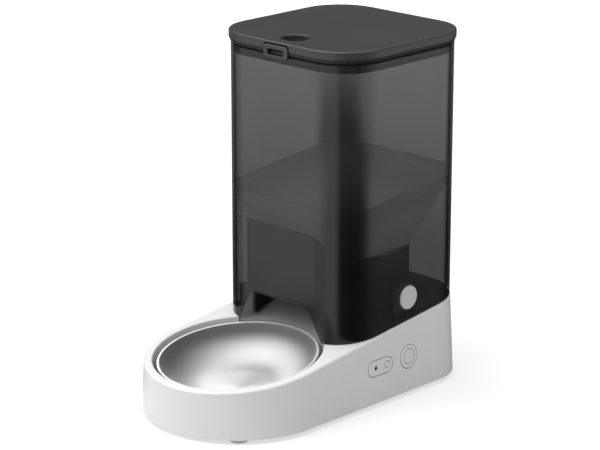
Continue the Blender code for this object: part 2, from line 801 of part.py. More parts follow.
def make_base_shell(white):
    """The white housing: leaning walls, sloping deck, bowl well, tank seat, drive tower and openings."""
    shape = loft([base_ring(0.0, flat(FOOT_HEIGHT)), base_ring(0.0, deck())])
    soften(shape, top_edges(shape, deck()), DECK_EDGE_ROUND, 2)
    shell = piece("base_shell", shape, white)
    cut(
        shell,
        loft([base_ring(BASE_WALL, flat(FOOT_HEIGHT - OVERRUN)), base_ring(BASE_WALL, deck(-BASE_WALL))])
    )
    well_place = deck_frame(WELL_CENTRE_Y)
    cup_rim, cup_depth = WELL_RADIUS + BASE_WALL, WELL_DEPTH + BASE_WALL
    join(
        shell,
        at(cup_outside(cup_rim, cup_depth, WELL_LEAN, WELL_FILLET + BASE_WALL, BASE_WALL / 2), well_place)
    )
    chute_reach = CHUTE_WALL + SEAT_GAP
    for tray in (tank_outline(SEAT_INSET - BASE_WALL), chute_plan(chute_reach + BASE_WALL, BASE_WALL)):
        join(shell, column(tray, deck(-SEAT_DEPTH - BASE_WALL), deck(-BASE_WALL / 2)))
    cut(shell, at(cup_inside(WELL_RADIUS, WELL_DEPTH, WELL_LEAN, WELL_FILLET, OVERRUN), well_place))
    for seat in (tank_outline(SEAT_INSET), chute_plan(chute_reach, SEAT_GAP)):
        cut(shell, column(seat, deck(-SEAT_DEPTH - RUN_GAP), deck(OVERRUN)))
    seat_underside = deck(-SEAT_DEPTH - BASE_WALL / 2)
    tower = turned([
        (0.0, TOWER_BOSS_HEIGHT),
        (TOWER_FOOT_RADIUS - BASE_WALL, TOWER_BOSS_HEIGHT),
        (TOWER_FOOT_RADIUS, deck_height(TANK_CENTRE_Y) - SEAT_DEPTH),
        (TOWER_TOP_RADIUS, TOWER_TOP_HEIGHT),
        (0.0, TOWER_TOP_HEIGHT),
    ])
    join(shell, moved(tower, 0, TANK_CENTRE_Y))
    for x, y in post_places():
        join(
            shell,
            column(circle(x, y, POST_RADIUS, SMALL_STEPS), flat(FLOOR_TOP + SEAT_GAP), seat_underside)
        )
    board_face = -CONTROL_BOARD_DEPTH + SEAT_GAP
    for y in (CONTROL_BOARD_FRONT_Y + BOARD_BOSS_MARGIN, CONTROL_BOARD_REAR_Y - BOARD_BOSS_MARGIN):
        boss = disc(BOARD_BOSS_RADIUS, board_face, -BASE_WALL / 2, SMALL_STEPS)
        join(shell, at(boss, side_frame(y, CONTROL_HEIGHT)))
    bore = disc(BUSH_RADIUS + SEAT_GAP, TOWER_BOSS_HEIGHT - OVERRUN, TOWER_TOP_HEIGHT + OVERRUN)
    cut(shell, moved(bore, 0, TANK_CENTRE_Y))
    panel_hole = slot_outline(PANEL_LENGTH + 2 * SEAT_GAP, PANEL_WIDTH + 2 * SEAT_GAP)
    cut(
        shell,
        at(column(panel_hole, flat(-BASE_WALL - OVERRUN), flat(OVERRUN)), side_frame(PANEL_Y, CONTROL_HEIGHT))
    )
    feed_hole = disc(FEED_BUTTON_RADIUS + SEAT_GAP, -BASE_WALL - OVERRUN, OVERRUN)
    cut(shell, at(feed_hole, side_frame(FEED_BUTTON_Y, CONTROL_HEIGHT)))
    inlet_hole = disc(INLET_NOSE_RADIUS + SEAT_GAP, -BASE_WALL - OVERRUN, OVERRUN)
    cut(shell, at(inlet_hole, facing_back(0, rear_wall_y(INLET_HEIGHT), INLET_HEIGHT)))
    for turn in (moved_nowhere, half_turned):
        cut(shell, turn(column(hook_slot(), deck(-SEAT_DEPTH - BASE_WALL - OVERRUN), deck(OVERRUN))))
    return shell


def moved_nowhere(shape):
    """Leaves the right-hand one of a pair where it is."""
    return shape


def rear_wall_y(height):
    """Where the base's rear wall stands at a height."""
    return BASE_LENGTH / 2 - math.tan(SIDE_DRAFT) * (height - FOOT_HEIGHT)


def post_places():
    front = ((FRONT_POST_X, FRONT_POST_Y), (-FRONT_POST_X, FRONT_POST_Y))
    return (*front, (REAR_POST_X, REAR_POST_Y), (-REAR_POST_X, REAR_POST_Y))


def release_arm_outer():
    """X of the outer face of the right release button's hook arm."""
    flange_back = TANK_HALF - TANK_WALL - RUN_GAP - RELEASE_FLANGE
    return flange_back - RELEASE_ARM_INSET


def hook_slot():
    """The slot that a hook drops through, with room for its travel."""
    outer = release_arm_outer() + HOOK_NOSE + HOOK_SLOT_GAP
    inner = release_arm_outer() - RELEASE_ARM_SHEET - RELEASE_TRAVEL - HOOK_SLOT_GAP
    half = RELEASE_ARM_HALF + HOOK_SLOT_GAP
    return rectangle(inner, TANK_CENTRE_Y - half, outer, TANK_CENTRE_Y + half)


def foot_places():
    front = {"foot_front_left": (-FRONT_FOOT_X, FRONT_FOOT_Y), "foot_front_right": (
        FRONT_FOOT_X, FRONT_FOOT_Y
    )}
    rear = {"foot_rear_left": (-REAR_FOOT_X, REAR_FOOT_Y), "foot_rear_right": (REAR_FOOT_X, REAR_FOOT_Y)}
    return {**front, **rear}


def make_feet(grey):
    top = FOOT_HEIGHT - SEAT_GAP
    stem_top = top + FOOT_STEM_LENGTH
    for name, (x, y) in foot_places().items():
        profile = [(0.0, 0.0), (FOOT_BOTTOM_RADIUS, 0.0), (FOOT_TOP_RADIUS, top), (FOOT_STEM_RADIUS, top)]
        profile += [(FOOT_STEM_RADIUS, stem_top), (0.0, stem_top)]
        piece(name, moved(turned(profile, FOOT_STEPS), x, y), grey)


def make_base_bottom(dark):
    """The floor plate: foot sockets, board bosses, battery bay and the rails of its cover."""
    inset = BASE_WALL + SEAT_GAP
    plate = piece(
        "base_bottom", loft([base_ring(inset, flat(FOOT_HEIGHT)), base_ring(inset, flat(FLOOR_TOP))]), dark
    )
    roof = cover_roof()
    rail_half = BAY_HALF + COVER_OVERLAP + COVER_LIP
    rails = rectangle(
        -rail_half - BAY_WALL, BAY_FRONT_Y - COVER_OVERLAP - BAY_WALL, rail_half + BAY_WALL,
        BAY_REAR_Y + COVER_OVERLAP + BAY_WALL
    )
    join(plate, column(rails, flat(FLOOR_TOP - RUN_GAP), flat(roof + RAIL_ROOF)))
    box = rectangle(-BAY_HALF - BAY_WALL, BAY_FRONT_Y - BAY_WALL, BAY_HALF + BAY_WALL, BAY_REAR_Y + BAY_WALL)
    join(plate, column(box, flat(roof + RUN_GAP), flat(roof + BAY_HEIGHT + BAY_WALL)))
    bay = rectangle(-BAY_HALF, BAY_FRONT_Y, BAY_HALF, BAY_REAR_Y)
    cut(plate, column(bay, flat(FOOT_HEIGHT - OVERRUN), flat(roof + BAY_HEIGHT)))
    mouth_front = BAY_FRONT_Y - COVER_OVERLAP - SEAT_GAP
    mouth_half = BAY_HALF + COVER_OVERLAP + SEAT_GAP
    rear = BASE_LENGTH
    cut(
        plate,
        column(rectangle(-mouth_half, mouth_front, mouth_half, rear), flat(FOOT_HEIGHT - OVERRUN), flat(roof))
    )
    lip_low = FOOT_HEIGHT + COVER_SHEET - COVER_LIP_SHEET - SEAT_GAP
    groove = rectangle(-rail_half - SEAT_GAP, mouth_front, rail_half + SEAT_GAP, rear)
    cut(plate, column(groove, flat(lip_low), flat(roof)))
    for x, y in foot_places().values():
        cut(plate, column(circle(x, y, FOOT_STEM_RADIUS + SEAT_GAP, SMALL_STEPS),
                          flat(FOOT_HEIGHT - OVERRUN), flat(FOOT_HEIGHT + FOOT_STEM_LENGTH + SEAT_GAP)))
    for x, y in main_board_bosses():
        boss = circle(x, y, BOARD_BOSS_RADIUS, SMALL_STEPS)
        join(plate, column(boss, flat(FLOOR_TOP - RUN_GAP), flat(FLOOR_TOP + BOARD_BOSS_HEIGHT)))
    return plate


def cover_roof():
    """Height of the ceiling that the battery cover slides under."""
    return FOOT_HEIGHT + COVER_SHEET + SEAT_GAP


def make_battery_cover(dark):
    """A flat cover with a lip along each side and grip ribs, which slides to the rear."""
    half = BAY_HALF + COVER_OVERLAP
    front, rear = BAY_FRONT_Y - COVER_OVERLAP, BAY_REAR_Y + COVER_OVERLAP
    top = FOOT_HEIGHT + COVER_SHEET
    axis = joint_axis("battery_cover_slide", facing_back(0, rear, FOOT_HEIGHT), COVER_TRAVEL)
    cover = piece("battery_cover", block(-half, front, FOOT_HEIGHT, half, rear, top), dark, axis)
    lip = half + COVER_LIP
    join(cover, block(-lip, front + RUN_GAP, top - COVER_LIP_SHEET, lip, rear - RUN_GAP, top))
    for row in range(3):
        y = rear - (row + 2) * 2 * GRIP_RIB
        cut(
            cover,
            block(-half / 3, y, FOOT_HEIGHT - OVERRUN, half / 3, y + GRIP_RIB, FOOT_HEIGHT + GRIP_RIB / 2)
        )
    return cover


def make_contacts(steel):
    """A strip at each end of the battery bay, with a dimple for each cell."""
    low = cover_roof() + RUN_GAP + (BAY_HEIGHT - CONTACT_HEIGHT) / 2
    pitch = 2 * BAY_HALF / CONTACT_DIMPLES
    for name, y, way in (("contact_front", BAY_FRONT_Y, 1), ("contact_rear", BAY_REAR_Y, -1)):
        near, far = sorted((y + way * SEAT_GAP, y + way * (SEAT_GAP + CONTACT_SHEET)))
        strip = block(-BAY_HALF + RUN_GAP, near, low, BAY_HALF - RUN_GAP, far, low + CONTACT_HEIGHT)
        made = piece(name, strip, steel)
        for cell in range(CONTACT_DIMPLES):
            x = -BAY_HALF + pitch * (cell + 0.5)
            profile = [
                (0.0, 0.0), (CONTACT_DIMPLE_RADIUS, 0.0), (CONTACT_DIMPLE_RADIUS / 2, CONTACT_STANDOFF)
            ]
            dimple = turned([*profile, (0.0, CONTACT_STANDOFF)], DIMPLE_STEPS)
            facing = facing_back(x, y + way * (SEAT_GAP + CONTACT_SHEET / 2), low + CONTACT_HEIGHT / 2)
            if way < 0:
                facing = facing @ Matrix.Rotation(math.pi, 4, "Y")
            join(made, at(dimple, facing))


def main_board_bosses():
    left, right = MAIN_BOARD_LEFT_X + BOARD_BOSS_MARGIN, MAIN_BOARD_RIGHT_X - BOARD_BOSS_MARGIN
    front, rear = MAIN_BOARD_FRONT_Y + BOARD_BOSS_MARGIN, MAIN_BOARD_REAR_Y - BOARD_BOSS_MARGIN
    return [(left, front), (right, front), (right, rear), (left, rear)]


def make_main_board(green):
    """The control circuit, flat on the floor plate."""
    low = FLOOR_TOP + BOARD_BOSS_HEIGHT + SEAT_GAP
    top = low + BOARD_SHEET
    sink = BOARD_SHEET / 2
    board = piece("main_board", block(MAIN_BOARD_LEFT_X, MAIN_BOARD_FRONT_Y, low,
                                      MAIN_BOARD_RIGHT_X, MAIN_BOARD_REAR_Y, top), green)
    middle_x = (MAIN_BOARD_LEFT_X + MAIN_BOARD_RIGHT_X) / 2
    middle_y = (MAIN_BOARD_FRONT_Y + MAIN_BOARD_REAR_Y) / 2
    chip = CHIP_SIDE / 2
    join(
        board,
        block(middle_x - chip, middle_y - chip, top - sink, middle_x + chip, middle_y + chip, top + CHIP_HEIGHT)
    )
    capacitor = disc(CAPACITOR_RADIUS, top - sink, top + CAPACITOR_HEIGHT, SMALL_STEPS)
    join(board, moved(capacitor, middle_x, MAIN_BOARD_FRONT_Y + 2 * CAPACITOR_RADIUS))
    socket = SOCKET_BLOCK_LENGTH / 2
    rear = MAIN_BOARD_REAR_Y - BOARD_BOSS_MARGIN / 2
    join(board, block(middle_x - socket, rear - SOCKET_BLOCK_HEIGHT, top - sink,
                      middle_x + socket, rear, top + SOCKET_BLOCK_HEIGHT))
    return board


def make_controls(white, clear, green):
    """Side panel, lamp lens, the two buttons and the switch board behind them."""
    panel_place = side_frame(PANEL_Y, CONTROL_HEIGHT)
    shape = column(slot_outline(PANEL_LENGTH, PANEL_WIDTH), flat(-PANEL_SHEET), flat(0.0))
    soften(shape, top_edges(shape, flat(0.0)), BUTTON_ROUND / 2, 2)
    panel = piece("control_plate", at(shape, panel_place), white)
    flange = slot_outline(PANEL_LENGTH + 2 * PANEL_FLANGE_REACH, PANEL_WIDTH + 2 * PANEL_FLANGE_REACH)
    flange_top = -BASE_WALL - SEAT_GAP
    flange_low = flange_top - BUTTON_FLANGE
    join(panel, at(column(flange, flat(flange_low), flat(flange_top)), panel_place))
    joint_wall = slot_outline(PANEL_LENGTH - 2 * SEAT_GAP, PANEL_WIDTH - 2 * SEAT_GAP)
    join(
        panel,
        at(column(joint_wall, flat(flange_top - BUTTON_FLANGE / 2), flat(-PANEL_SHEET / 2)), panel_place)
    )
    for y, radius in ((LENS_Y, LENS_RADIUS), (SETUP_BUTTON_Y, SETUP_BUTTON_RADIUS)):
        hole = disc(radius + SEAT_GAP, flange_low - OVERRUN, OVERRUN, FOOT_STEPS)
        cut(panel, at(hole, side_frame(y, CONTROL_HEIGHT)))
    lens_flange = flange_low - SEAT_GAP
    profile = [
        (0.0, lens_flange - BUTTON_FLANGE), (LENS_RADIUS + BUTTON_FLANGE_REACH, lens_flange - BUTTON_FLANGE)
    ]
    profile += [(LENS_RADIUS + BUTTON_FLANGE_REACH, lens_flange), (LENS_RADIUS, lens_flange)]
    profile += [(LENS_RADIUS, -SEAT_GAP), (0.0, 0.0)]
    piece("status_lens", at(turned(profile, SMALL_STEPS), side_frame(LENS_Y, CONTROL_HEIGHT)), clear)
    make_side_button(
        "setup_button", SETUP_BUTTON_Y, SETUP_BUTTON_RADIUS, 0.0, flange_low, SETUP_BUTTON_TRAVEL, white
    )
    feed = make_side_button("feed_button", FEED_BUTTON_Y, FEED_BUTTON_RADIUS, FEED_BUTTON_PROUD,
                            -BASE_WALL, FEED_BUTTON_TRAVEL, white)
    outer = FEED_GROOVE_RADIUS + FEED_GROOVE_WIDTH
    groove = ring(outer, FEED_GROOVE_RADIUS, FEED_BUTTON_PROUD - FEED_GROOVE_DEPTH, OVERRUN)
    cut(feed, at(groove, side_frame(FEED_BUTTON_Y, CONTROL_HEIGHT)))
    make_control_board(green)


def switch_top():
    """Height of the switches' tops in the side frame."""
    return -CONTROL_BOARD_DEPTH + SWITCH_HEIGHT


def make_side_button(name, y, radius, proud, wall_back, travel, finish):
    """A round button with a flange behind the wall and a stem that reaches its switch."""
    place = side_frame(y, CONTROL_HEIGHT)
    flange_top = wall_back - SEAT_GAP
    flange_low = flange_top - BUTTON_FLANGE
    stem_radius = min(BUTTON_STEM_RADIUS, radius - SEAT_GAP)
    stem_low = switch_top() + travel + SEAT_GAP
    reach = radius + BUTTON_FLANGE_REACH
    profile = [(0.0, stem_low), (stem_radius, stem_low), (stem_radius, flange_low), (reach, flange_low)]
    profile += [(reach, flange_top), (radius, flange_top), (radius, proud - BUTTON_ROUND)]
    profile += [(radius - BUTTON_ROUND, proud), (0.0, proud)]
    axis = joint_axis(f"{name}_press", place, travel)
    return piece(name, at(turned(profile), place), finish, axis)


def make_control_board(green):
    length = CONTROL_BOARD_REAR_Y - CONTROL_BOARD_FRONT_Y
    middle = (CONTROL_BOARD_REAR_Y + CONTROL_BOARD_FRONT_Y) / 2
    face = -CONTROL_BOARD_DEPTH
    half_height = CONTROL_BOARD_HALF_HEIGHT
    sheet = block(-length / 2, -half_height, face - BOARD_SHEET, length / 2, half_height, face)
    board = piece("control_board", at(sheet, side_frame(middle, CONTROL_HEIGHT)), green)
    half = SWITCH_SIDE / 2
    for y in (FEED_BUTTON_Y, SETUP_BUTTON_Y):
        switch = block(-half, -half, face - BOARD_SHEET / 2, half, half, switch_top())
        join(board, at(switch, side_frame(y, CONTROL_HEIGHT)))


def make_power_inlet(dark):
    """The low-voltage inlet: a block behind the rear wall, with its nose in the wall."""
    place = facing_back(0, rear_wall_y(INLET_HEIGHT), INLET_HEIGHT)
    front = -BASE_WALL - SEAT_GAP
    inlet = piece("power_inlet", at(block(-INLET_HALF, -INLET_HALF, front - INLET_DEPTH,
                                          INLET_HALF, INLET_HALF, front), place), dark)
    join(inlet, at(disc(INLET_NOSE_RADIUS, front - RUN_GAP, -SEAT_GAP), place))
    bore = ring(INLET_BORE_RADIUS, INLET_PIN_RADIUS, -INLET_BORE_DEPTH, OVERRUN, SMALL_STEPS)
    cut(inlet, at(bore, place))
    return inlet


def make_drive(steel, nylon, dark, brass):
    """Motor, pinion, gear and spindle, carried by a bracket that hangs from the deck."""
    bracket_top = BRACKET_HEIGHT + BRACKET_SHEET
    corner = BRACKET_CORNER
    outline = rounded([
        (BRACKET_LEFT_X, BRACKET_FRONT_Y, corner),
        (BRACKET_RIGHT_X, BRACKET_FRONT_Y, corner),
        (BRACKET_RIGHT_X, BRACKET_REAR_Y, corner),
        (BRACKET_LEFT_X, BRACKET_REAR_Y, corner),
    ])
    bracket = piece("gearbox_bracket", column(outline, flat(BRACKET_HEIGHT), flat(bracket_top)), dark)
    boss = disc(BRACKET_BOSS_RADIUS, BRACKET_HEIGHT - BRACKET_BOSS_DROP, bracket_top - RUN_GAP, FOOT_STEPS)
    join(bracket, moved(boss, 0, TANK_CENTRE_Y))
    left, right = BRACKET_LEFT_X + corner, BRACKET_RIGHT_X - corner
    front, rear = BRACKET_FRONT_Y + corner, BRACKET_REAR_Y - corner
    for x, y in ((left, front), (right, front), (right, rear), (left, rear)):
        pillar = circle(x, y, PILLAR_RADIUS, SMALL_STEPS)
        join(bracket, column(pillar, flat(bracket_top - RUN_GAP), deck(-SEAT_DEPTH - BASE_WALL - SEAT_GAP)))
    for x, y, radius in ((0, TANK_CENTRE_Y, SPINDLE_RADIUS), (MOTOR_X, MOTOR_Y, MOTOR_NOSE_RADIUS)):
        hole = circle(x, y, radius + SEAT_GAP, FOOT_STEPS)
        cut(bracket, column(hole, flat(FLOOR_TOP), flat(DECK_REAR_HEIGHT)))

    can_top = BRACKET_HEIGHT - SEAT_GAP
    nose_top = can_top + MOTOR_NOSE_LENGTH
    can_low = can_top - MOTOR_LENGTH
    edge = BUTTON_ROUND
    profile = [(0.0, can_low), (MOTOR_RADIUS - edge, can_low), (MOTOR_RADIUS, can_low + edge)]
    profile += [
        (MOTOR_RADIUS, can_top), (MOTOR_NOSE_RADIUS, can_top), (MOTOR_NOSE_RADIUS, nose_top),
        (0.0, nose_top)
    ]
    piece("gear_motor", moved(turned(profile, FOOT_STEPS), MOTOR_X, MOTOR_Y), steel)

    pinion_axis = joint_axis("pinion_spin", Matrix.Translation((MOTOR_X, MOTOR_Y, GEAR_HEIGHT)))
    towards_gear = MOTOR_DIRECTION + math.pi
    half_pitch = math.pi / PINION_TEETH
    teeth = involute_outline(PINION_TEETH, BACKLASH, towards_gear + half_pitch)
    low, high = GEAR_HEIGHT - PINION_OVERHANG, GEAR_HEIGHT + GEAR_FACE + PINION_OVERHANG
    pinion = piece(
        "motor_pinion", moved(column(teeth, flat(low), flat(high)), MOTOR_X, MOTOR_Y), brass, pinion_axis
    )
    stub = disc(PINION_STUB_RADIUS, nose_top + SEAT_GAP, high - RUN_GAP, SMALL_STEPS)
    join(pinion, moved(stub, MOTOR_X, MOTOR_Y))

    spin_axis = joint_axis("drive_spin", Matrix.Translation((0, TANK_CENTRE_Y, GEAR_HEIGHT)))
    teeth = involute_outline(GEAR_TEETH, BACKLASH, MOTOR_DIRECTION)
    top = GEAR_HEIGHT + GEAR_FACE
    gear = piece(
        "drive_gear", moved(column(teeth, flat(GEAR_HEIGHT), flat(top)), 0, TANK_CENTRE_Y), nylon, spin_axis
    )
    web_outer = GEAR_RADIUS - GEAR_MODULE - GEAR_RIM_WIDTH
    for low, high in ((GEAR_HEIGHT - OVERRUN, GEAR_HEIGHT + (GEAR_FACE - GEAR_WEB) / 2),
                      (top - (GEAR_FACE - GEAR_WEB) / 2, top + OVERRUN)):
        cut(gear, moved(ring(web_outer, GEAR_HUB_RADIUS, low, high, FOOT_STEPS), 0, TANK_CENTRE_Y))
    hub = disc(GEAR_HUB_RADIUS - SEAT_GAP, GEAR_HEIGHT - GEAR_HUB_DROP, GEAR_HEIGHT + RUN_GAP, FOOT_STEPS)
    join(gear, moved(hub, 0, TANK_CENTRE_Y))
    bore = disc(SPINDLE_RADIUS + SEAT_GAP, GEAR_HEIGHT - OVERRUN, top + OVERRUN, FOOT_STEPS)
    cut(gear, moved(bore, 0, TANK_CENTRE_Y))

    dog_top = DOG_HEIGHT + DOG_LENGTH
    shaft = disc(SPINDLE_RADIUS, SPINDLE_FOOT_HEIGHT, DOG_HEIGHT + RUN_GAP, FOOT_STEPS)
    spindle = piece("drive_spindle", moved(shaft, 0, TANK_CENTRE_Y), steel, spin_axis)
    join(spindle, moved(hexagon(DOG_ACROSS_FLATS, DOG_HEIGHT, dog_top), 0, TANK_CENTRE_Y))

    bush_top = TOWER_TOP_HEIGHT + SEAT_GAP + BUSH_FLANGE
    profile = [
        (SPINDLE_RADIUS + SEAT_GAP, TOWER_TOP_HEIGHT - BUSH_LENGTH),
        (BUSH_RADIUS, TOWER_TOP_HEIGHT - BUSH_LENGTH)
    ]
    profile += [(BUSH_RADIUS, TOWER_TOP_HEIGHT + SEAT_GAP), (BUSH_FLANGE_RADIUS, TOWER_TOP_HEIGHT + SEAT_GAP)]
    profile += [(BUSH_FLANGE_RADIUS, bush_top), (SPINDLE_RADIUS + SEAT_GAP, bush_top)]
    piece("spindle_bush", moved(turned(profile, FOOT_STEPS), 0, TANK_CENTRE_Y), brass)


def hexagon(across_flats, low, high):
    """A hexagonal bar about Z."""
    return column(circle(0, 0, across_flats / math.sqrt(3), 6), flat(low), flat(high))


def make_bowl(steel):
    """A pressed bowl with a rolled rim. It lifts out forwards and up."""
    place = deck_frame(BOWL_CENTRE_Y, -BOWL_RIM_DROP)
    inner_rim = BOWL_RADIUS - BOWL_RIM_WIDTH
    outer_rim = inner_rim + BOWL_SHEET / math.cos(BOWL_LEAN)
    inside = cup_curve(inner_rim, BOWL_DEPTH - BOWL_SHEET, BOWL_LEAN, BOWL_FILLET)
    outside = cup_curve(outer_rim, BOWL_DEPTH, BOWL_LEAN, BOWL_FILLET + BOWL_SHEET, CUP_FILLET_STEPS)
    bead = arc((BOWL_RADIUS - BOWL_BEAD_RADIUS, -BOWL_BEAD_RADIUS), BOWL_BEAD_RADIUS, 90, -90, 3)
    under_bead = 2 * BOWL_BEAD_RADIUS
    outside[0] = (outer_rim - math.tan(BOWL_LEAN) * under_bead, -under_bead)
    axis = joint_axis("bowl_lift", place, BOWL_LIFT)
    return piece("bowl", at(turned([*reversed(inside), *bead, *outside], BOWL_STEPS), place), steel, axis)


def chute_plan(offset, forward=0.0):
    """The chute's plan, widened by offset and drawn out to the front."""
    flare = (CHUTE_MOUTH_HALF - CHUTE_BEND_HALF) / (CHUTE_BEND_Y - CHUTE_MOUTH_Y)
    mouth = (CHUTE_MOUTH_HALF + flare * forward, CHUTE_MOUTH_Y - forward)
    half = [mouth, (CHUTE_BEND_HALF, CHUTE_BEND_Y), (CHUTE_BACK_HALF, CHUTE_BACK_Y)]
    right = [(x + offset, y) for x, y in half[:2]] + [(half[2][0] + offset, half[2][1] + offset)]
    left = [(-x, y) for x, y in reversed(right)]
    return right + left


def under_ramp(lip, gap):
    """Everything under the ramp's sheet, and everything over the well, as one turned solid."""
    far = lip + RAMP_REACH
    low = -LIP_DROP - RAMP_SHEET - gap
    deep = -DECK_REAR_HEIGHT
    high = TOWER_TOP_HEIGHT
    profile = [
        (0.0, deep), (far, deep), (far, low + RAMP_SLOPE * RAMP_REACH), (lip, low), (lip, high), (0.0, high)
    ]
    return turned(profile, RAMP_STEPS)


def make_outlet_chute(smoke, tank_axis):
    """The ramp that spreads the food over the bowl's rear rim, with its side walls."""
    place = deck_frame(WELL_CENTRE_Y)
    lip = WELL_RADIUS + SEAT_GAP
    far = lip + RAMP_REACH
    rise = RAMP_SLOPE * RAMP_REACH
    sheet = [(lip, -LIP_DROP - RAMP_SHEET), (far, -LIP_DROP - RAMP_SHEET + rise), (far, -LIP_DROP + rise)]
    ramp = at(turned([*sheet, (lip, -LIP_DROP)], RAMP_STEPS), place)
    chute = piece("outlet_chute", ramp, smoke, tank_axis)
    ceiling = CUP_FLOOR_HEIGHT - SEAT_GAP
    keep(chute, column(chute_plan(CHUTE_WALL), flat(FOOT_HEIGHT), flat(CUP_TOP_HEIGHT)))
    walls = chute_plan(CHUTE_WALL) + list(reversed(chute_plan(0.0)))
    walls = piece("outlet_chute_walls", column(walls, flat(FOOT_HEIGHT), flat(ceiling)), smoke)
    cut(walls, at(under_ramp(lip, -RAMP_SHEET / 2), place))
    join_object(chute, walls)
    keep(chute, column(tank_outline(TANK_WALL + SEAT_GAP), flat(FOOT_HEIGHT), flat(ceiling)))
    return chute


def join_object(target, other):
    """Joins one modelled piece, with its own cuts, to another."""
    other.hide_render = True
    other.display_type = "WIRE"
    modifier = target.modifiers.new(f"union {len(target.modifiers)}", "BOOLEAN")
    modifier.operation = "UNION"
    modifier.object = other
    modifier.solver = "EXACT"


def make_tank_shell(smoke, axis):
    """The smoky tank: rounded square wall, arched outlet, button holes, latch tongue and hinge lugs."""
    shape = tube(tank_outline(0.0), tank_outline(TANK_WALL), deck(TANK_FOOT_GAP), flat(TANK_TOP))
    shell = piece("tank_shell", shape, smoke, axis)
    arch = rounded([
        (-ARCH_BASE_HALF, ARCH_BASE_HEIGHT, 0),
        (ARCH_BASE_HALF, ARCH_BASE_HEIGHT, 0),
        (ARCH_TOP_HALF, ARCH_TOP_HEIGHT, ARCH_CORNER),
        (-ARCH_TOP_HALF, ARCH_TOP_HEIGHT, ARCH_CORNER),
    ], 6)
    arch_cutter = column(arch, flat(0.0), flat(ARCH_CUT_DEPTH))
    cut(
        shell,
        at(arch_cutter, Matrix(((1, 0, 0, 0), (0, 0, 1, TANK_FRONT_Y - OVERRUN), (0, 1, 0, 0), (0, 0, 0, 1))))
    )
    for turn in (moved_nowhere, half_turned):
        hole = disc(RELEASE_RADIUS + SEAT_GAP, -TANK_WALL - OVERRUN, OVERRUN)
        cut(shell, turn(at(hole, facing_right(TANK_HALF, TANK_CENTRE_Y, RELEASE_HEIGHT))))
    tongue_rear = TANK_FRONT_Y + TANK_WALL - RUN_GAP
    join(shell, block(-TONGUE_HALF, TONGUE_FRONT_Y, TONGUE_ROOT, TONGUE_HALF, tongue_rear, TONGUE_TOP))
    for side in (-1, 1):
        left, right = sorted((side * LUG_INNER_X, side * (LUG_INNER_X + LUG_WIDTH)))
        pedestal = LUG_PEDESTAL / 2
        join(
            shell,
            block(left, HINGE_Y - pedestal, TANK_TOP - KNUCKLE_RADIUS, right, HINGE_Y + pedestal, HINGE_HEIGHT)
        )
        join(
            shell,
            at(disc(KNUCKLE_RADIUS, 0.0, right - left, FOOT_STEPS), facing_right(left, HINGE_Y, HINGE_HEIGHT))
        )
        outer_left, outer_right = sorted((side * (LUG_INNER_X + LUG_WIDTH), side * knuckle_outer_x()))
        clear = KNUCKLE_RADIUS + SEAT_GAP
        room = disc(clear, 0.0, outer_right - outer_left, FOOT_STEPS)
        cut(shell, at(room, facing_right(outer_left, HINGE_Y, HINGE_HEIGHT)))
        pin_hole = disc(HINGE_PIN_RADIUS + SEAT_GAP, -OVERRUN, right - left + OVERRUN, SMALL_STEPS)
        cut(shell, at(pin_hole, facing_right(left, HINGE_Y, HINGE_HEIGHT)))
    return shell


def knuckle_outer_x():
    """How far out the lid's knuckles need room in the tank's rim."""
    return LUG_INNER_X + LUG_WIDTH + 2 * SEAT_GAP + KNUCKLE_WIDTH + SEAT_GAP


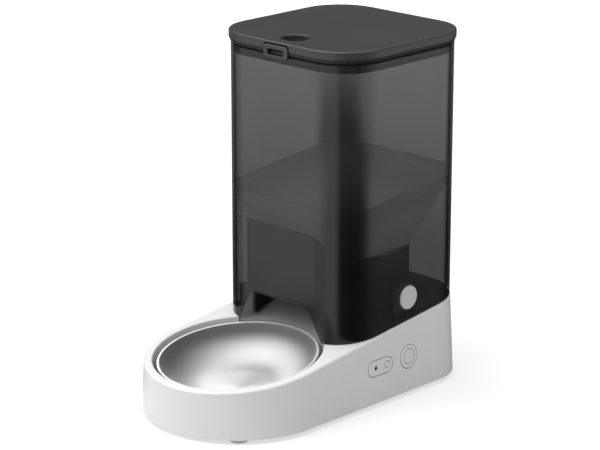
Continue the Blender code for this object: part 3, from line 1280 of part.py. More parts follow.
def make_tank_floor(dark, axis):
    """The dark tray: seat plate and spigot, portion cup with its outlet, and the housing over the chute."""
    low = TANK_FOOT_GAP
    plate_top = low + TRAY_SHEET
    inside = tank_outline(TANK_WALL + SEAT_GAP)
    floor = piece("tank_floor", column(inside, deck(low), deck(plate_top)), dark, axis)
    spigot_outer = tank_outline(SEAT_INSET + RUN_GAP)
    spigot_inner = tank_outline(SEAT_INSET + RUN_GAP + SPIGOT_WALL)
    join(floor, tube(spigot_outer, spigot_inner, deck(-SPIGOT_DEPTH), deck(low + TRAY_SHEET / 2)))
    cup_outer = circle(0, TANK_CENTRE_Y, CUP_RADIUS + CUP_WALL, CUP_STEPS)
    cup_inner = circle(0, TANK_CENTRE_Y, CUP_RADIUS, CUP_STEPS)
    join(floor, tube(cup_outer, cup_inner, deck(low + TRAY_SHEET / 2), flat(CUP_TOP_HEIGHT)))
    chute_room = chute_plan(CHUTE_WALL + SEAT_GAP, OVERRUN)
    cut(floor, column(chute_room, flat(FOOT_HEIGHT), flat(CUP_FLOOR_HEIGHT + CUP_FLOOR_SHEET / 2)))
    cut(
        floor,
        at(disc(WELL_RADIUS + SEAT_GAP, -WELL_DEPTH, WELL_DEPTH, BOWL_STEPS), deck_frame(WELL_CENTRE_Y))
    )
    floor_top = CUP_FLOOR_HEIGHT + CUP_FLOOR_SHEET
    disc_outline = circle(0, TANK_CENTRE_Y, CUP_RADIUS + CUP_WALL / 2, CUP_STEPS)
    join(floor, column(disc_outline, flat(CUP_FLOOR_HEIGHT), flat(floor_top)))

    def sloping_roof(x, y):
        share = (y - THROAT_FRONT_Y) / (THROAT_BACK_Y - THROAT_FRONT_Y)
        return THROAT_FRONT_HEIGHT + (THROAT_BACK_HEIGHT - THROAT_FRONT_HEIGHT) * share

    throat = rectangle(-THROAT_HALF, THROAT_FRONT_Y, THROAT_HALF, THROAT_BACK_Y)
    housing = piece("tank_floor_throat", column(throat, flat(CUP_FLOOR_HEIGHT), sloping_roof), dark)
    hollow_half = THROAT_HALF - THROAT_WALL
    hollow = rectangle(-hollow_half, THROAT_FRONT_Y + THROAT_WALL, hollow_half, THROAT_BACK_Y + OVERRUN)
    cut(housing, column(hollow, flat(floor_top), flat(FUNNEL_RIM_HEIGHT)))
    wall_middle = circle(0, TANK_CENTRE_Y, CUP_RADIUS + CUP_WALL / 2, CUP_STEPS)
    cut(housing, column(wall_middle, flat(CUP_FLOOR_HEIGHT - OVERRUN), flat(FUNNEL_RIM_HEIGHT)))
    join_object(floor, housing)
    outlet = sector(OUTLET_OUTER_RADIUS, OUTLET_INNER_RADIUS, OUTLET_HALF_ANGLE, 270, TANK_CENTRE_Y)
    cut(floor, column(outlet, flat(CUP_FLOOR_HEIGHT - OVERRUN), flat(floor_top + OVERRUN)))
    hub_hole = circle(0, TANK_CENTRE_Y, HUB_HOLE_RADIUS)
    cut(floor, column(hub_hole, flat(CUP_FLOOR_HEIGHT - OVERRUN), flat(floor_top + OVERRUN)))
    tower_hole = circle(0, TANK_CENTRE_Y, TOWER_HOLE_RADIUS)
    cut(floor, column(tower_hole, deck(-OVERRUN), deck(plate_top + OVERRUN)))
    for turn in (moved_nowhere, half_turned):
        cut(floor, turn(column(hook_slot(), deck(-SEAT_DEPTH - OVERRUN), deck(plate_top + OVERRUN))))
    return floor


def make_hopper_funnel(smoke, axis):
    """A funnel from the tank's walls down to the portion cup, with a baffle over the outlet."""
    rim = tank_outline(TANK_WALL + SEAT_GAP)
    inner = tank_outline(TANK_WALL + SEAT_GAP + FUNNEL_WALL)

    def rim_surface(drop):
        return lambda x, y: FUNNEL_RIM_HEIGHT + FUNNEL_RIM_SLOPE * (y - TANK_CENTRE_Y) - drop

    def on_circle(outline, radius):
        points = []
        for x, y in outline:
            out = Vector((x, y - TANK_CENTRE_Y)).normalized() * radius
            points.append((out.x, out.y + TANK_CENTRE_Y, CUP_TOP_HEIGHT + SEAT_GAP))
        return points

    rings = [raised(rim, rim_surface(0.0)), raised(rim, rim_surface(FUNNEL_BAND))]
    rings += [on_circle(rim, CUP_RADIUS + CUP_WALL), on_circle(rim, CUP_RADIUS)]
    rings += [raised(inner, rim_surface(FUNNEL_BAND)), raised(inner, rim_surface(0.0))]
    funnel = piece("hopper_funnel", loft(rings, closed=True), smoke, axis)
    baffle = sector(CUP_RADIUS + CUP_WALL / 2, BAFFLE_INNER_RADIUS, BAFFLE_HALF_ANGLE, 270, TANK_CENTRE_Y)
    low = CUP_TOP_HEIGHT + 2 * SEAT_GAP
    join(funnel, column(baffle, flat(low), flat(low + BAFFLE_SHEET)))
    return funnel


def make_rotor(nylon, rubber, tank_axis):
    """The portion wheel with its hexagonal socket, and the stirrer on top of it."""
    low = CUP_FLOOR_HEIGHT + CUP_FLOOR_SHEET + RUN_GAP
    top = low + WHEEL_HEIGHT
    axis = joint_axis("rotor_spin", Matrix.Translation((0, TANK_CENTRE_Y, low)), parent=tank_axis)
    hub_low = CUP_FLOOR_HEIGHT - HUB_DROP
    rotor = piece("rotor", moved(disc(HUB_RADIUS, hub_low, top), 0, TANK_CENTRE_Y), nylon, axis)
    half = VANE_SHEET / 2
    for pair in range(WHEEL_VANES // 2):
        vane = block(-WHEEL_RADIUS, -half, low, WHEEL_RADIUS, half, top - RUN_GAP)
        bmesh.ops.rotate(
            vane, verts=vane.verts, matrix=Matrix.Rotation(2 * math.pi * pair / WHEEL_VANES, 3, "Z")
        )
        join(rotor, moved(vane, 0, TANK_CENTRE_Y))
    socket_top = DOG_HEIGHT + DOG_LENGTH + SOCKET_HEAD_ROOM
    socket = hexagon(DOG_ACROSS_FLATS + 2 * SOCKET_CLEARANCE, hub_low - OVERRUN, socket_top)
    cut(rotor, moved(socket, 0, TANK_CENTRE_Y))
    stem = top + SEAT_GAP
    nose = stem + STIRRER_HEIGHT
    profile = [(0.0, stem), (STIRRER_RADIUS, stem), (STIRRER_RADIUS, nose - STIRRER_RADIUS)]
    profile += arc((0, nose - STIRRER_RADIUS), STIRRER_RADIUS, 0, 90, 4)[1:]
    stirrer = piece("stirrer", moved(turned(profile, FOOT_STEPS), 0, TANK_CENTRE_Y), rubber, axis)
    arm_low = CUP_TOP_HEIGHT + BAFFLE_SHEET + STIRRER_ARM
    join(stirrer, moved(block(-STIRRER_REACH, -STIRRER_ARM / 2, arm_low, STIRRER_REACH, STIRRER_ARM / 2,
                              arm_low + STIRRER_ARM), 0, TANK_CENTRE_Y))


def make_release(grey, tank_axis):
    """A push button on each side of the tank, with a hook arm that reaches down into the base."""
    wall_in = TANK_HALF - TANK_WALL
    flange_out = wall_in - RUN_GAP
    flange_in = flange_out - RELEASE_FLANGE
    face = TANK_HALF + RELEASE_PROUD
    for side, turn in (("right", moved_nowhere), ("left", half_turned)):
        place = facing_right(0, TANK_CENTRE_Y, RELEASE_HEIGHT)
        frame = Matrix.Rotation(math.pi if side == "left" else 0.0, 4, "Z")
        frame = Matrix.Translation(place.translation) @ frame @ Matrix.Rotation(math.pi / 2, 4, "Y")
        arm_out = release_arm_outer()
        arm_in = arm_out - RELEASE_ARM_SHEET
        reach = RELEASE_RADIUS + RELEASE_FLANGE_REACH
        edge = BUTTON_ROUND
        profile = [(0.0, flange_in), (reach, flange_in), (reach, flange_out), (RELEASE_RADIUS, flange_out)]
        profile += [(RELEASE_RADIUS, face - edge), (RELEASE_RADIUS - edge, face), (0.0, face)]
        axis = joint_axis(f"release_{side}_press", frame, RELEASE_TRAVEL, tank_axis)
        button = piece(f"release_button_{side}", turn(at(turned(profile, RELEASE_STEPS), place)), grey, axis)
        half = RELEASE_ARM_HALF
        front, rear = TANK_CENTRE_Y - half, TANK_CENTRE_Y + half
        arm_top = RELEASE_HEIGHT + half / 2
        hook_low = RELEASE_HEIGHT - HOOK_DROP
        join(button, turn(block(arm_in, front, arm_top - half, flange_in + RUN_GAP, rear, arm_top)))
        join(button, turn(block(arm_in, front, hook_low, arm_out, rear, arm_top - RUN_GAP)))
        join(button, turn(block(arm_in + RUN_GAP, front + RUN_GAP, hook_low - RUN_GAP, arm_out + HOOK_NOSE,
                                rear - RUN_GAP, hook_low + HOOK_NOSE_HEIGHT)))


def make_hinge_pins(steel, tank_axis):
    length = LUG_WIDTH + 2 * SEAT_GAP + KNUCKLE_WIDTH
    for name, left in (("hinge_pin_right", LUG_INNER_X), ("hinge_pin_left", -LUG_INNER_X - length)):
        pin = disc(HINGE_PIN_RADIUS, 0.0, length, SMALL_STEPS)
        piece(name, at(pin, facing_right(left, HINGE_Y, HINGE_HEIGHT)), steel, tank_axis)


def hinge_room(inner, outer):
    """Cutters that leave room round the hinge's knuckles, on both sides."""
    cutters = []
    for side in (-1, 1):
        left, right = sorted((side * inner, side * outer))
        room = disc(KNUCKLE_RADIUS + SEAT_GAP, 0.0, right - left, FOOT_STEPS)
        cutters.append(at(room, facing_right(left, HINGE_Y, HINGE_HEIGHT)))
    return cutters


def make_lid_cover(dark, axis):
    """The lid's outer cap: rounded top edge, dished button hole, notch for the latch loop."""
    outline = tank_outline(0.0, LID_HALF, LID_CORNER)
    shape = column(outline, flat(LID_BOTTOM), flat(LID_TOP))
    soften(shape, top_edges(shape, flat(LID_TOP)), LID_EDGE_ROUND, 2)
    cover = piece("lid_cover", shape, dark, axis)
    hollow = tank_outline(LID_SHEET, LID_HALF, LID_CORNER)
    cut(cover, column(hollow, flat(LID_BOTTOM - OVERRUN), flat(LID_TOP - LID_SHEET)))
    slope = (DISH_RADIUS - DISH_FLOOR_RADIUS) / (LID_TOP - DISH_FLOOR_HEIGHT)
    embed = LID_TOP - LID_SHEET / 2
    collar_top = DISH_FLOOR_RADIUS + slope * (embed - DISH_FLOOR_HEIGHT) + COLLAR_WALL
    collar = [(0.0, LID_BOTTOM), (DISH_FLOOR_RADIUS + COLLAR_WALL, LID_BOTTOM)]
    collar += [(DISH_FLOOR_RADIUS + COLLAR_WALL, DISH_FLOOR_HEIGHT), (collar_top, embed), (0.0, embed)]
    join(cover, moved(turned(collar), 0, LID_BUTTON_Y))
    wide = DISH_RADIUS + slope * OVERRUN
    dish = [(0.0, LID_BOTTOM - OVERRUN), (DISH_FLOOR_RADIUS, LID_BOTTOM - OVERRUN)]
    dish += [(DISH_FLOOR_RADIUS, DISH_FLOOR_HEIGHT), (wide, LID_TOP + OVERRUN), (0.0, LID_TOP + OVERRUN)]
    cut(cover, moved(turned(dish), 0, LID_BUTTON_Y))
    notch = rounded([
        (-NOTCH_HALF, LID_BOTTOM - OVERRUN, 0),
        (NOTCH_HALF, LID_BOTTOM - OVERRUN, 0),
        (NOTCH_HALF, NOTCH_TOP, NOTCH_CORNER),
        (-NOTCH_HALF, NOTCH_TOP, NOTCH_CORNER),
    ])
    front = TANK_CENTRE_Y - LID_HALF
    cut(cover, at(column(notch, flat(-OVERRUN), flat(LID_SHEET + RUN_GAP)), upright(front)))
    cut(cover, *hinge_room(LUG_INNER_X - SEAT_GAP, knuckle_outer_x()))
    return cover


def upright(y):
    """A frame whose X is the world's, whose Y points up and whose Z points to the rear. It mirrors."""
    return Matrix(((1, 0, 0, 0), (0, 0, 1, y), (0, 1, 0, 0), (0, 0, 0, 1)))


def make_lid_liner(dark, axis):
    """The lid's inner panel: sealing plug, button well, latch ears, hinge knuckles and desiccant collar."""
    plate = column(tank_outline(LINER_INSET, LID_HALF, LID_CORNER), flat(LINER_BOTTOM), flat(LINER_TOP))
    liner = piece("lid_liner", plate, dark, axis)
    plug = TANK_WALL + PLUG_GAP
    plug_inner = tank_outline(plug + PLUG_WALL)
    join(liner, tube(tank_outline(plug), plug_inner, flat(PLUG_BOTTOM), flat(LINER_BOTTOM + RUN_GAP)))
    groove = tube(tank_outline(TANK_WALL - OVERRUN), tank_outline(plug + SEAL_GROOVE),
                  flat(SEAL_BOTTOM), flat(SEAL_BOTTOM + SEAL_HEIGHT))
    cut(liner, groove)
    embed = LINER_BOTTOM + RUN_GAP
    well_outer = BUTTON_WELL_RADIUS + BUTTON_WELL_WALL
    join(liner, column(circle(0, LID_BUTTON_Y, well_outer), flat(BUTTON_WELL_FLOOR), flat(embed)))
    channel_half = LATCH_TAIL_HALF + 2 * SEAT_GAP
    channel_front = TANK_FRONT_Y + plug + PLUG_WALL
    join(liner, block(-channel_half - BUTTON_WELL_WALL, channel_front - RUN_GAP, BUTTON_WELL_FLOOR,
                      channel_half + BUTTON_WELL_WALL, LID_BUTTON_Y, embed))
    floor = BUTTON_WELL_FLOOR + BUTTON_WELL_SHEET
    cut(liner, column(circle(0, LID_BUTTON_Y, BUTTON_WELL_RADIUS), flat(floor), flat(LINER_TOP + OVERRUN)))
    cut(
        liner,
        block(-channel_half, channel_front - SEAT_GAP, floor, channel_half, LID_BUTTON_Y, LINER_TOP + OVERRUN)
    )
    tongue_half = TONGUE_HALF + SEAT_GAP
    cut(liner, block(-tongue_half, TANK_FRONT_Y - OVERRUN, LINER_BOTTOM - OVERRUN, tongue_half,
                     TANK_FRONT_Y + TANK_WALL + SEAT_GAP, LINER_TOP + OVERRUN))
    cut(liner, block(-NOTCH_HALF, TANK_FRONT_Y - OVERRUN, LINER_BOTTOM - OVERRUN, NOTCH_HALF,
                     LATCH_FRONT_Y + LATCH_SHEET + SEAT_GAP, LINER_TOP + OVERRUN))
    ear = tombstone(EAR_RADIUS, LATCH_PIN_HEIGHT - LINER_TOP + RUN_GAP)
    for side in (-1, 1):
        left = min(side * EAR_INNER_X, side * (EAR_INNER_X + EAR_WIDTH))
        place = facing_right(left, LATCH_PIN_Y, LATCH_PIN_HEIGHT)
        join(liner, at(column(ear, flat(0.0), flat(EAR_WIDTH)), place))
        cut(
            liner,
            at(disc(LATCH_PIN_RADIUS + SEAT_GAP, -OVERRUN / 2, EAR_WIDTH + OVERRUN / 2, SMALL_STEPS), place)
        )
    cut(liner, *hinge_room(LUG_INNER_X - SEAT_GAP, LUG_INNER_X + LUG_WIDTH + SEAT_GAP))
    for side in (-1, 1):
        inner = LUG_INNER_X + LUG_WIDTH + 2 * SEAT_GAP
        left, right = sorted((side * inner, side * (inner + KNUCKLE_WIDTH)))
        place = facing_right(left, HINGE_Y, HINGE_HEIGHT)
        join(liner, at(disc(KNUCKLE_RADIUS, 0.0, KNUCKLE_WIDTH, FOOT_STEPS), place))
        cut(
            liner,
            at(disc(HINGE_PIN_RADIUS + SEAT_GAP, -OVERRUN / 4, KNUCKLE_WIDTH + OVERRUN / 4, SMALL_STEPS), place)
        )
    collar = ring(
        DESICCANT_COLLAR_RADIUS + DESICCANT_COLLAR_WALL, DESICCANT_COLLAR_RADIUS, TAB_BOTTOM, embed,
        CUP_STEPS
    )
    join(liner, moved(collar, 0, DESICCANT_Y))
    for lug in range(TWIST_LUGS):
        outer, inner = DESICCANT_COLLAR_RADIUS + DESICCANT_COLLAR_WALL / 2, DESICCANT_RADIUS + SEAT_GAP
        facing = 90 + 360 * lug / TWIST_LUGS
        tab = sector(outer, inner, TAB_HALF_ANGLE, facing, DESICCANT_Y, LUG_STEPS)
        join(liner, column(tab, flat(TAB_BOTTOM + SEAT_GAP), flat(TAB_BOTTOM + TAB_HEIGHT)))
    return liner


def make_lid_seal(rubber, axis):
    outer = tank_outline(TANK_WALL + SEAL_WALL_GAP)
    inner = tank_outline(TANK_WALL + PLUG_GAP + SEAL_GROOVE - SEAT_GAP)
    low, high = SEAL_BOTTOM + SEAT_GAP, SEAL_BOTTOM + SEAL_HEIGHT - SEAT_GAP
    return piece("lid_seal", tube(outer, inner, flat(low), flat(high)), rubber, axis)


def make_lid_button(dark, lid_axis):
    """The press button in the lid's dish, with a narrow tip that pushes the latch's tail."""
    cap_low = LID_BUTTON_TOP - LID_BUTTON_SHEET
    flange_top = LID_BOTTOM - SEAT_GAP
    edge = BUTTON_ROUND
    radius = LID_BUTTON_RADIUS
    profile = [(0.0, cap_low), (LID_BUTTON_FLANGE_RADIUS, cap_low), (LID_BUTTON_FLANGE_RADIUS, flange_top)]
    profile += [(radius, flange_top), (radius, LID_BUTTON_TOP - edge), (radius - edge, LID_BUTTON_TOP)]
    profile += [(0.0, LID_BUTTON_TOP - edge / 2)]
    place = Matrix.Translation((0, LID_BUTTON_Y, LID_BUTTON_TOP))
    axis = joint_axis("lid_button_press", place, LID_BUTTON_TRAVEL, lid_axis)
    button = piece("lid_button", moved(turned(profile, FOOT_STEPS), 0, LID_BUTTON_Y), dark, axis)
    tip_low = LATCH_TAIL_TOP + SEAT_GAP + SEAT_GAP / 3
    join(button, block(-LID_BUTTON_TIP_WIDTH, LID_BUTTON_Y - LID_BUTTON_TIP_HALF, tip_low,
                       LID_BUTTON_TIP_WIDTH, LID_BUTTON_Y + LID_BUTTON_TIP_HALF, cap_low + RUN_GAP))
    return button


def make_latch(dark, steel, lid_axis):
    """The loop that hooks over the tank's tongue, its pin, and the spring under its tail."""
    place = facing_right(0, LATCH_PIN_Y, LATCH_PIN_HEIGHT)
    axis = joint_axis("latch_swing", place, LATCH_SWING, lid_axis)
    corner = LATCH_CORNER
    outline = rounded([
        (-LATCH_HALF, LATCH_BOTTOM, corner),
        (LATCH_HALF, LATCH_BOTTOM, corner),
        (LATCH_HALF, LATCH_TOP, corner),
        (-LATCH_HALF, LATCH_TOP, corner),
    ])
    plate = at(column(outline, flat(0.0), flat(LATCH_SHEET)), upright(LATCH_FRONT_Y))
    latch = piece("latch", plate, dark, axis)
    window = rounded([
        (-WINDOW_HALF, WINDOW_BOTTOM, WINDOW_CORNER),
        (WINDOW_HALF, WINDOW_BOTTOM, WINDOW_CORNER),
        (WINDOW_HALF, WINDOW_TOP, WINDOW_CORNER),
        (-WINDOW_HALF, WINDOW_TOP, WINDOW_CORNER),
    ], 2)
    cut(latch, at(column(window, flat(-OVERRUN), flat(LATCH_SHEET + OVERRUN)), upright(LATCH_FRONT_Y)))
    web_top = LATCH_WEB_HEIGHT + LATCH_WEB_SHEET
    step_rear = LATCH_STEP_FRONT_Y + LATCH_STEP_SHEET
    plate_back = LATCH_FRONT_Y + LATCH_SHEET
    tail_low = LATCH_TAIL_TOP - LATCH_STEP_SHEET
    join(
        latch,
        block(-LATCH_WEB_HALF, plate_back - RUN_GAP, LATCH_WEB_HEIGHT, LATCH_WEB_HALF, LATCH_PIN_Y, web_top)
    )
    join(latch, at(disc(LATCH_BARREL_RADIUS, -LATCH_WEB_HALF, LATCH_WEB_HALF, SMALL_STEPS), place))
    tail_half = LATCH_TAIL_HALF
    join(latch, block(-tail_half, LATCH_PIN_Y, LATCH_WEB_HEIGHT, tail_half, step_rear - RUN_GAP, web_top - RUN_GAP))
    join(latch, block(-tail_half, LATCH_STEP_FRONT_Y, tail_low, tail_half, step_rear, web_top))
    tail_front = LATCH_STEP_FRONT_Y + RUN_GAP
    join(latch, block(-tail_half, tail_front, tail_low, tail_half, LATCH_TAIL_REAR_Y, LATCH_TAIL_TOP))
    cut(latch, at(disc(LATCH_PIN_RADIUS + SEAT_GAP, -LATCH_HALF, LATCH_HALF, SMALL_STEPS), place))
    reach = EAR_INNER_X + EAR_WIDTH
    piece("latch_pin", at(disc(LATCH_PIN_RADIUS, -reach, reach, SMALL_STEPS), place), steel, lid_axis)
    spring_low = BUTTON_WELL_FLOOR + BUTTON_WELL_SHEET + SEAT_GAP
    length = tail_low - SEAT_GAP - spring_low
    spring = coil(LATCH_SPRING_RADIUS, LATCH_SPRING_WIRE, LATCH_SPRING_TURNS, length)
    piece("latch_spring", moved(spring, 0, LID_BUTTON_Y, spring_low), steel, lid_axis)


def make_desiccant(white, lid_axis):
    """A round box with twist lugs, and the slotted cap that closes it."""
    radius, wall = DESICCANT_RADIUS, DESICCANT_WALL
    roof = DESICCANT_TOP - wall
    place = Matrix.Translation((0, DESICCANT_Y, DESICCANT_TOP))
    axis = joint_axis("desiccant_twist", place, DESICCANT_TWIST, lid_axis)
    profile = [
        (radius - wall, DESICCANT_BOTTOM), (radius, DESICCANT_BOTTOM), (radius, DESICCANT_TOP),
        (0.0, DESICCANT_TOP)
    ]
    tub = turned([*profile, (0.0, roof), (radius - wall, roof)], HIDDEN_STEPS)
    box = piece("desiccant_box", moved(tub, 0, DESICCANT_Y), white, axis)
    for lug in range(TWIST_LUGS):
        facing = 90 + 360 * lug / TWIST_LUGS
        shape = sector(radius + LUG_REACH, radius - wall / 2, LUG_HALF_ANGLE, facing, DESICCANT_Y, LUG_STEPS)
        join(box, column(shape, flat(LUG_BOTTOM), flat(LUG_BOTTOM + LUG_HEIGHT)))
    cap_radius = radius - wall - SEAT_GAP
    low = DESICCANT_BOTTOM + SEAT_GAP
    cap = piece("desiccant_cap", moved(disc(cap_radius, low, low + CAP_SHEET), 0, DESICCANT_Y), white, axis)
    for slot in range(CAP_SLOTS):
        y = (slot - (CAP_SLOTS - 1) / 2) * CAP_SLOT_PITCH
        reach = math.sqrt(cap_radius**2 - y**2) - 3 * wall
        half = CAP_SLOT_WIDTH / 2
        cut(
            cap,
            block(-reach, DESICCANT_Y + y - half, low - OVERRUN, reach, DESICCANT_Y + y + half, low + OVERRUN)
        )


def main():
    for old in list(bpy.data.objects):
        bpy.data.objects.remove(old)
    tools = bpy.data.collections.new("tools")
    bpy.context.scene.collection.children.link(tools)
    white = material("white_abs", (0.86, 0.86, 0.87), 0.35)
    grey = material("light_grey", (0.62, 0.62, 0.64), 0.4)
    dark = material("dark_grey", (0.062, 0.062, 0.066), 0.42)
    smoke = material("smoky_clear", (0.05, 0.05, 0.055), 0.12, alpha=0.55)
    steel = material("steel", (0.62, 0.62, 0.63), 0.28, metallic=1.0)
    brass = material("brass", (0.72, 0.55, 0.25), 0.35, metallic=1.0)
    nylon = material("nylon", (0.78, 0.77, 0.72), 0.5)
    rubber = material("rubber", (0.11, 0.11, 0.115), 0.75)
    green = material("circuit_board", (0.03, 0.16, 0.07), 0.45)
    lens = material("lens", (0.02, 0.02, 0.022), 0.08)

    make_base_shell(white)
    make_base_bottom(white)
    make_feet(rubber)
    make_battery_cover(white)
    make_contacts(steel)
    make_main_board(green)
    make_controls(white, lens, green)
    make_power_inlet(dark)
    make_drive(steel, nylon, dark, brass)
    make_bowl(steel)

    tank_foot = Matrix.Translation((0, TANK_CENTRE_Y, deck_height(TANK_CENTRE_Y)))
    tank_axis = joint_axis("tank_lift", tank_foot, TANK_LIFT)
    make_tank_shell(smoke, tank_axis)
    make_tank_floor(dark, tank_axis)
    make_outlet_chute(dark, tank_axis)
    make_hopper_funnel(dark, tank_axis)
    make_rotor(nylon, rubber, tank_axis)
    make_release(grey, tank_axis)
    make_hinge_pins(steel, tank_axis)

    lid_axis = joint_axis("lid_hinge", facing_right(0, HINGE_Y, HINGE_HEIGHT), LID_OPENING, tank_axis)
    make_lid_cover(dark, lid_axis)
    make_lid_liner(dark, lid_axis)
    make_lid_seal(rubber, lid_axis)
    make_lid_button(dark, lid_axis)
    make_latch(dark, steel, lid_axis)
    make_desiccant(white, lid_axis)


main()
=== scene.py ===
# %% [markdown]
# # Dressing an automatic pet feeder
# The CAD part already holds every solid of the feeder in its place. This lesson gives it the look of the
# real one: finer shells where the eye rests, and a finish with real detail on every surface. Each step
# first says what the piece is, then how it could be made, and why it is made the way it is. All sizes are
# in metres. The bowl is at the front, towards -Y, and the buttons are on the right, towards +X.

import math

import bmesh
import bpy
from mathutils import Matrix, Vector


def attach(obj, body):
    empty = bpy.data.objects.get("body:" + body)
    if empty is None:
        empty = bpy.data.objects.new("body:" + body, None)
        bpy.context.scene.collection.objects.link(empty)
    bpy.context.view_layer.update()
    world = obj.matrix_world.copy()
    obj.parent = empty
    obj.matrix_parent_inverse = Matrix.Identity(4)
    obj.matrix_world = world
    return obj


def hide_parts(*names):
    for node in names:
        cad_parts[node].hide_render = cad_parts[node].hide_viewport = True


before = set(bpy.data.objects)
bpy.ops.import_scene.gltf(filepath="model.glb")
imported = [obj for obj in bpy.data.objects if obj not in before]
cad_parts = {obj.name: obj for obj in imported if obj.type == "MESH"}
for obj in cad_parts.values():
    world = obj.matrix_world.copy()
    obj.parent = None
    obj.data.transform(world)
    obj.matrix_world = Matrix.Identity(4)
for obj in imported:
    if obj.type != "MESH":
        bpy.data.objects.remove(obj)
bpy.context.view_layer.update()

# %% [markdown]
# ## The camera
# A product photograph is taken from far away with a long lens, so that upright edges stay nearly parallel.
# The camera could be placed by eye, but a fit is better: its angle, distance and lens were solved from a
# dozen corners of the object, and the numbers below are that fit.

# %% Camera
PHOTO_WIDTH = 600
LENS_PIXELS = 2349.5
CAMERA_DISTANCE = 1.9915
CAMERA_TURN = math.radians(44.24)
CAMERA_RISE = math.radians(17.01)
AIM_POINT = Vector((0.0053, 0.0052, 0.1487))


def direction(turn, rise):
    """The unit vector that points turn to the right of the front and rise above level."""
    return Vector((math.sin(turn) * math.cos(rise), -math.cos(turn) * math.cos(rise), math.sin(rise)))


def aim(thing, along):
    """Turns a camera or a light to look along a direction."""
    thing.rotation_euler = along.to_track_quat("-Z", "Y").to_euler()


towards_camera = direction(CAMERA_TURN, CAMERA_RISE)
camera = bpy.data.objects.new("camera", bpy.data.cameras.new("camera"))
camera.data.lens = LENS_PIXELS * camera.data.sensor_width / PHOTO_WIDTH
camera.location = AIM_POINT + towards_camera * CAMERA_DISTANCE
aim(camera, -towards_camera)
bpy.context.scene.collection.objects.link(camera)
bpy.context.scene.camera = camera
print("lens", round(camera.data.lens), "mm")

# %% [markdown]
# ## Writing materials as arithmetic
# Blender's materials are graphs of nodes. Linking them one call at a time is long and hard to read, so a
# small class stands for one socket: adding or multiplying two of them adds a Math node, and any other kind
# of node comes from one method. A finish then reads like the sentence that describes it.

# %% One class for sockets
X, Y, Z = 0, 1, 2
MIX_FACTOR, MIX_LOW, MIX_HIGH, MIX_RESULT = 0, 6, 7, 2


class Wire:
    """A socket in a node tree. Arithmetic on wires adds Math nodes. A Mix node has a set of sockets for each
    kind of value under the same names, so the colour ones are told apart by their places."""

    def __init__(self, tree, socket=None):
        self.tree = tree
        self.socket = socket

    def node(self, kind, settings=None, inputs=None, output=0):
        """Adds a node: first its settings, then a value or a wire for each of its inputs."""
        made = self.tree.nodes.new("ShaderNode" + kind)
        for name, value in (settings or {}).items():
            setattr(made, name, value)
        for name, value in (inputs or {}).items():
            if isinstance(value, Wire):
                self.tree.links.new(value.socket, made.inputs[name])
            else:
                made.inputs[name].default_value = value
        return Wire(self.tree, made.outputs[output])

    def math(self, operation, first, second):
        return self.node("Math", {"operation": operation}, {0: first, 1: second})

    def __add__(self, other):
        return self.math("ADD", self, other)

    def __radd__(self, other):
        return self.math("ADD", other, self)

    def __sub__(self, other):
        return self.math("SUBTRACT", self, other)

    def __rsub__(self, other):
        return self.math("SUBTRACT", other, self)

    def __mul__(self, other):
        return self.math("MULTIPLY", self, other)

    def __rmul__(self, other):
        return self.math("MULTIPLY", other, self)

    def __pow__(self, other):
        return self.math("POWER", self, other)

    def part(self, axis):
        """X, Y or Z of a vector."""
        return self.node("SeparateXYZ", inputs={0: self}, output=axis)

    def smooth(self, low, high):
        """0 below low, 1 above high, and a soft step between."""
        settings = {"interpolation_type": "SMOOTHSTEP"}
        return self.node("MapRange", settings, {"Value": self, "From Min": low, "From Max": high})

    def length(self, centre_x=0.0, centre_y=0.0):
        """The level distance of a place from an upright axis."""
        return ((self.part(X) - centre_x) ** 2 + (self.part(Y) - centre_y) ** 2) ** 0.5

    def noise(self, scale, detail):
        """Cloudy noise from 0 to 1 with about scale lumps to the metre."""
        return self.node("TexNoise", inputs={"Vector": self, "Scale": scale, "Detail": detail})

    def between(self, low, high):
        """A colour that runs from low to high as this wire runs from 0 to 1."""
        inputs = {MIX_FACTOR: self, MIX_LOW: (*low, 1), MIX_HIGH: (*high, 1)}
        return self.node("Mix", {"data_type": "RGBA"}, inputs, MIX_RESULT)

    def bump(self, depth):
        """A surface whose height follows this wire, depth metres from 0 to 1."""
        return self.node("Bump", inputs={"Height": self, "Distance": depth})


def new_finish(name, **constants):
    """A material: its Principled shader with constants set, and a wire on the object's coordinates."""
    finish = bpy.data.materials.new(name)
    finish.use_nodes = True
    shader = finish.node_tree.nodes["Principled BSDF"]
    for word, value in constants.items():
        shader.inputs[word.replace("_", " ").title().replace("Ior", "IOR")].default_value = value
    place = Wire(finish.node_tree).node("TexCoord", output="Object")
    return finish, shader, place


def feed(shader, socket, wire):
    """Links a wire to one of a shader's sockets."""
    shader.id_data.links.new(wire.socket, shader.inputs[socket])


print("wires ready")

# %% [markdown]
# ## Moulded plastics
# White ABS, nylon, silicone and rubber all come out of steel moulds whose texture they copy: a fine grain
# of about a quarter of a millimetre, and a slow drift in gloss where the plastic cooled at different
# speeds. One recipe serves them all, with the colour, the gloss and the depth of the grain as its numbers.

# %% Moulded finishes
GRAIN_SCALE = 3800
DRIFT_SCALE = 24


def moulded(name, colour, roughness, grain, drift=0.04, tint=0.03):
    """A moulded plastic: grain in metres of relief, drift in roughness and tint in colour."""
    finish, shader, place = new_finish(name)
    cloud = place.noise(DRIFT_SCALE, 3)
    darker = tuple(channel * (1 - tint) for channel in colour)
    lighter = tuple(min(channel * (1 + tint), 1) for channel in colour)
    feed(shader, "Base Color", cloud.between(darker, lighter))
    feed(shader, "Roughness", cloud * (2 * drift) + (roughness - drift))
    feed(shader, "Normal", place.noise(GRAIN_SCALE, 1).bump(grain))
    return finish


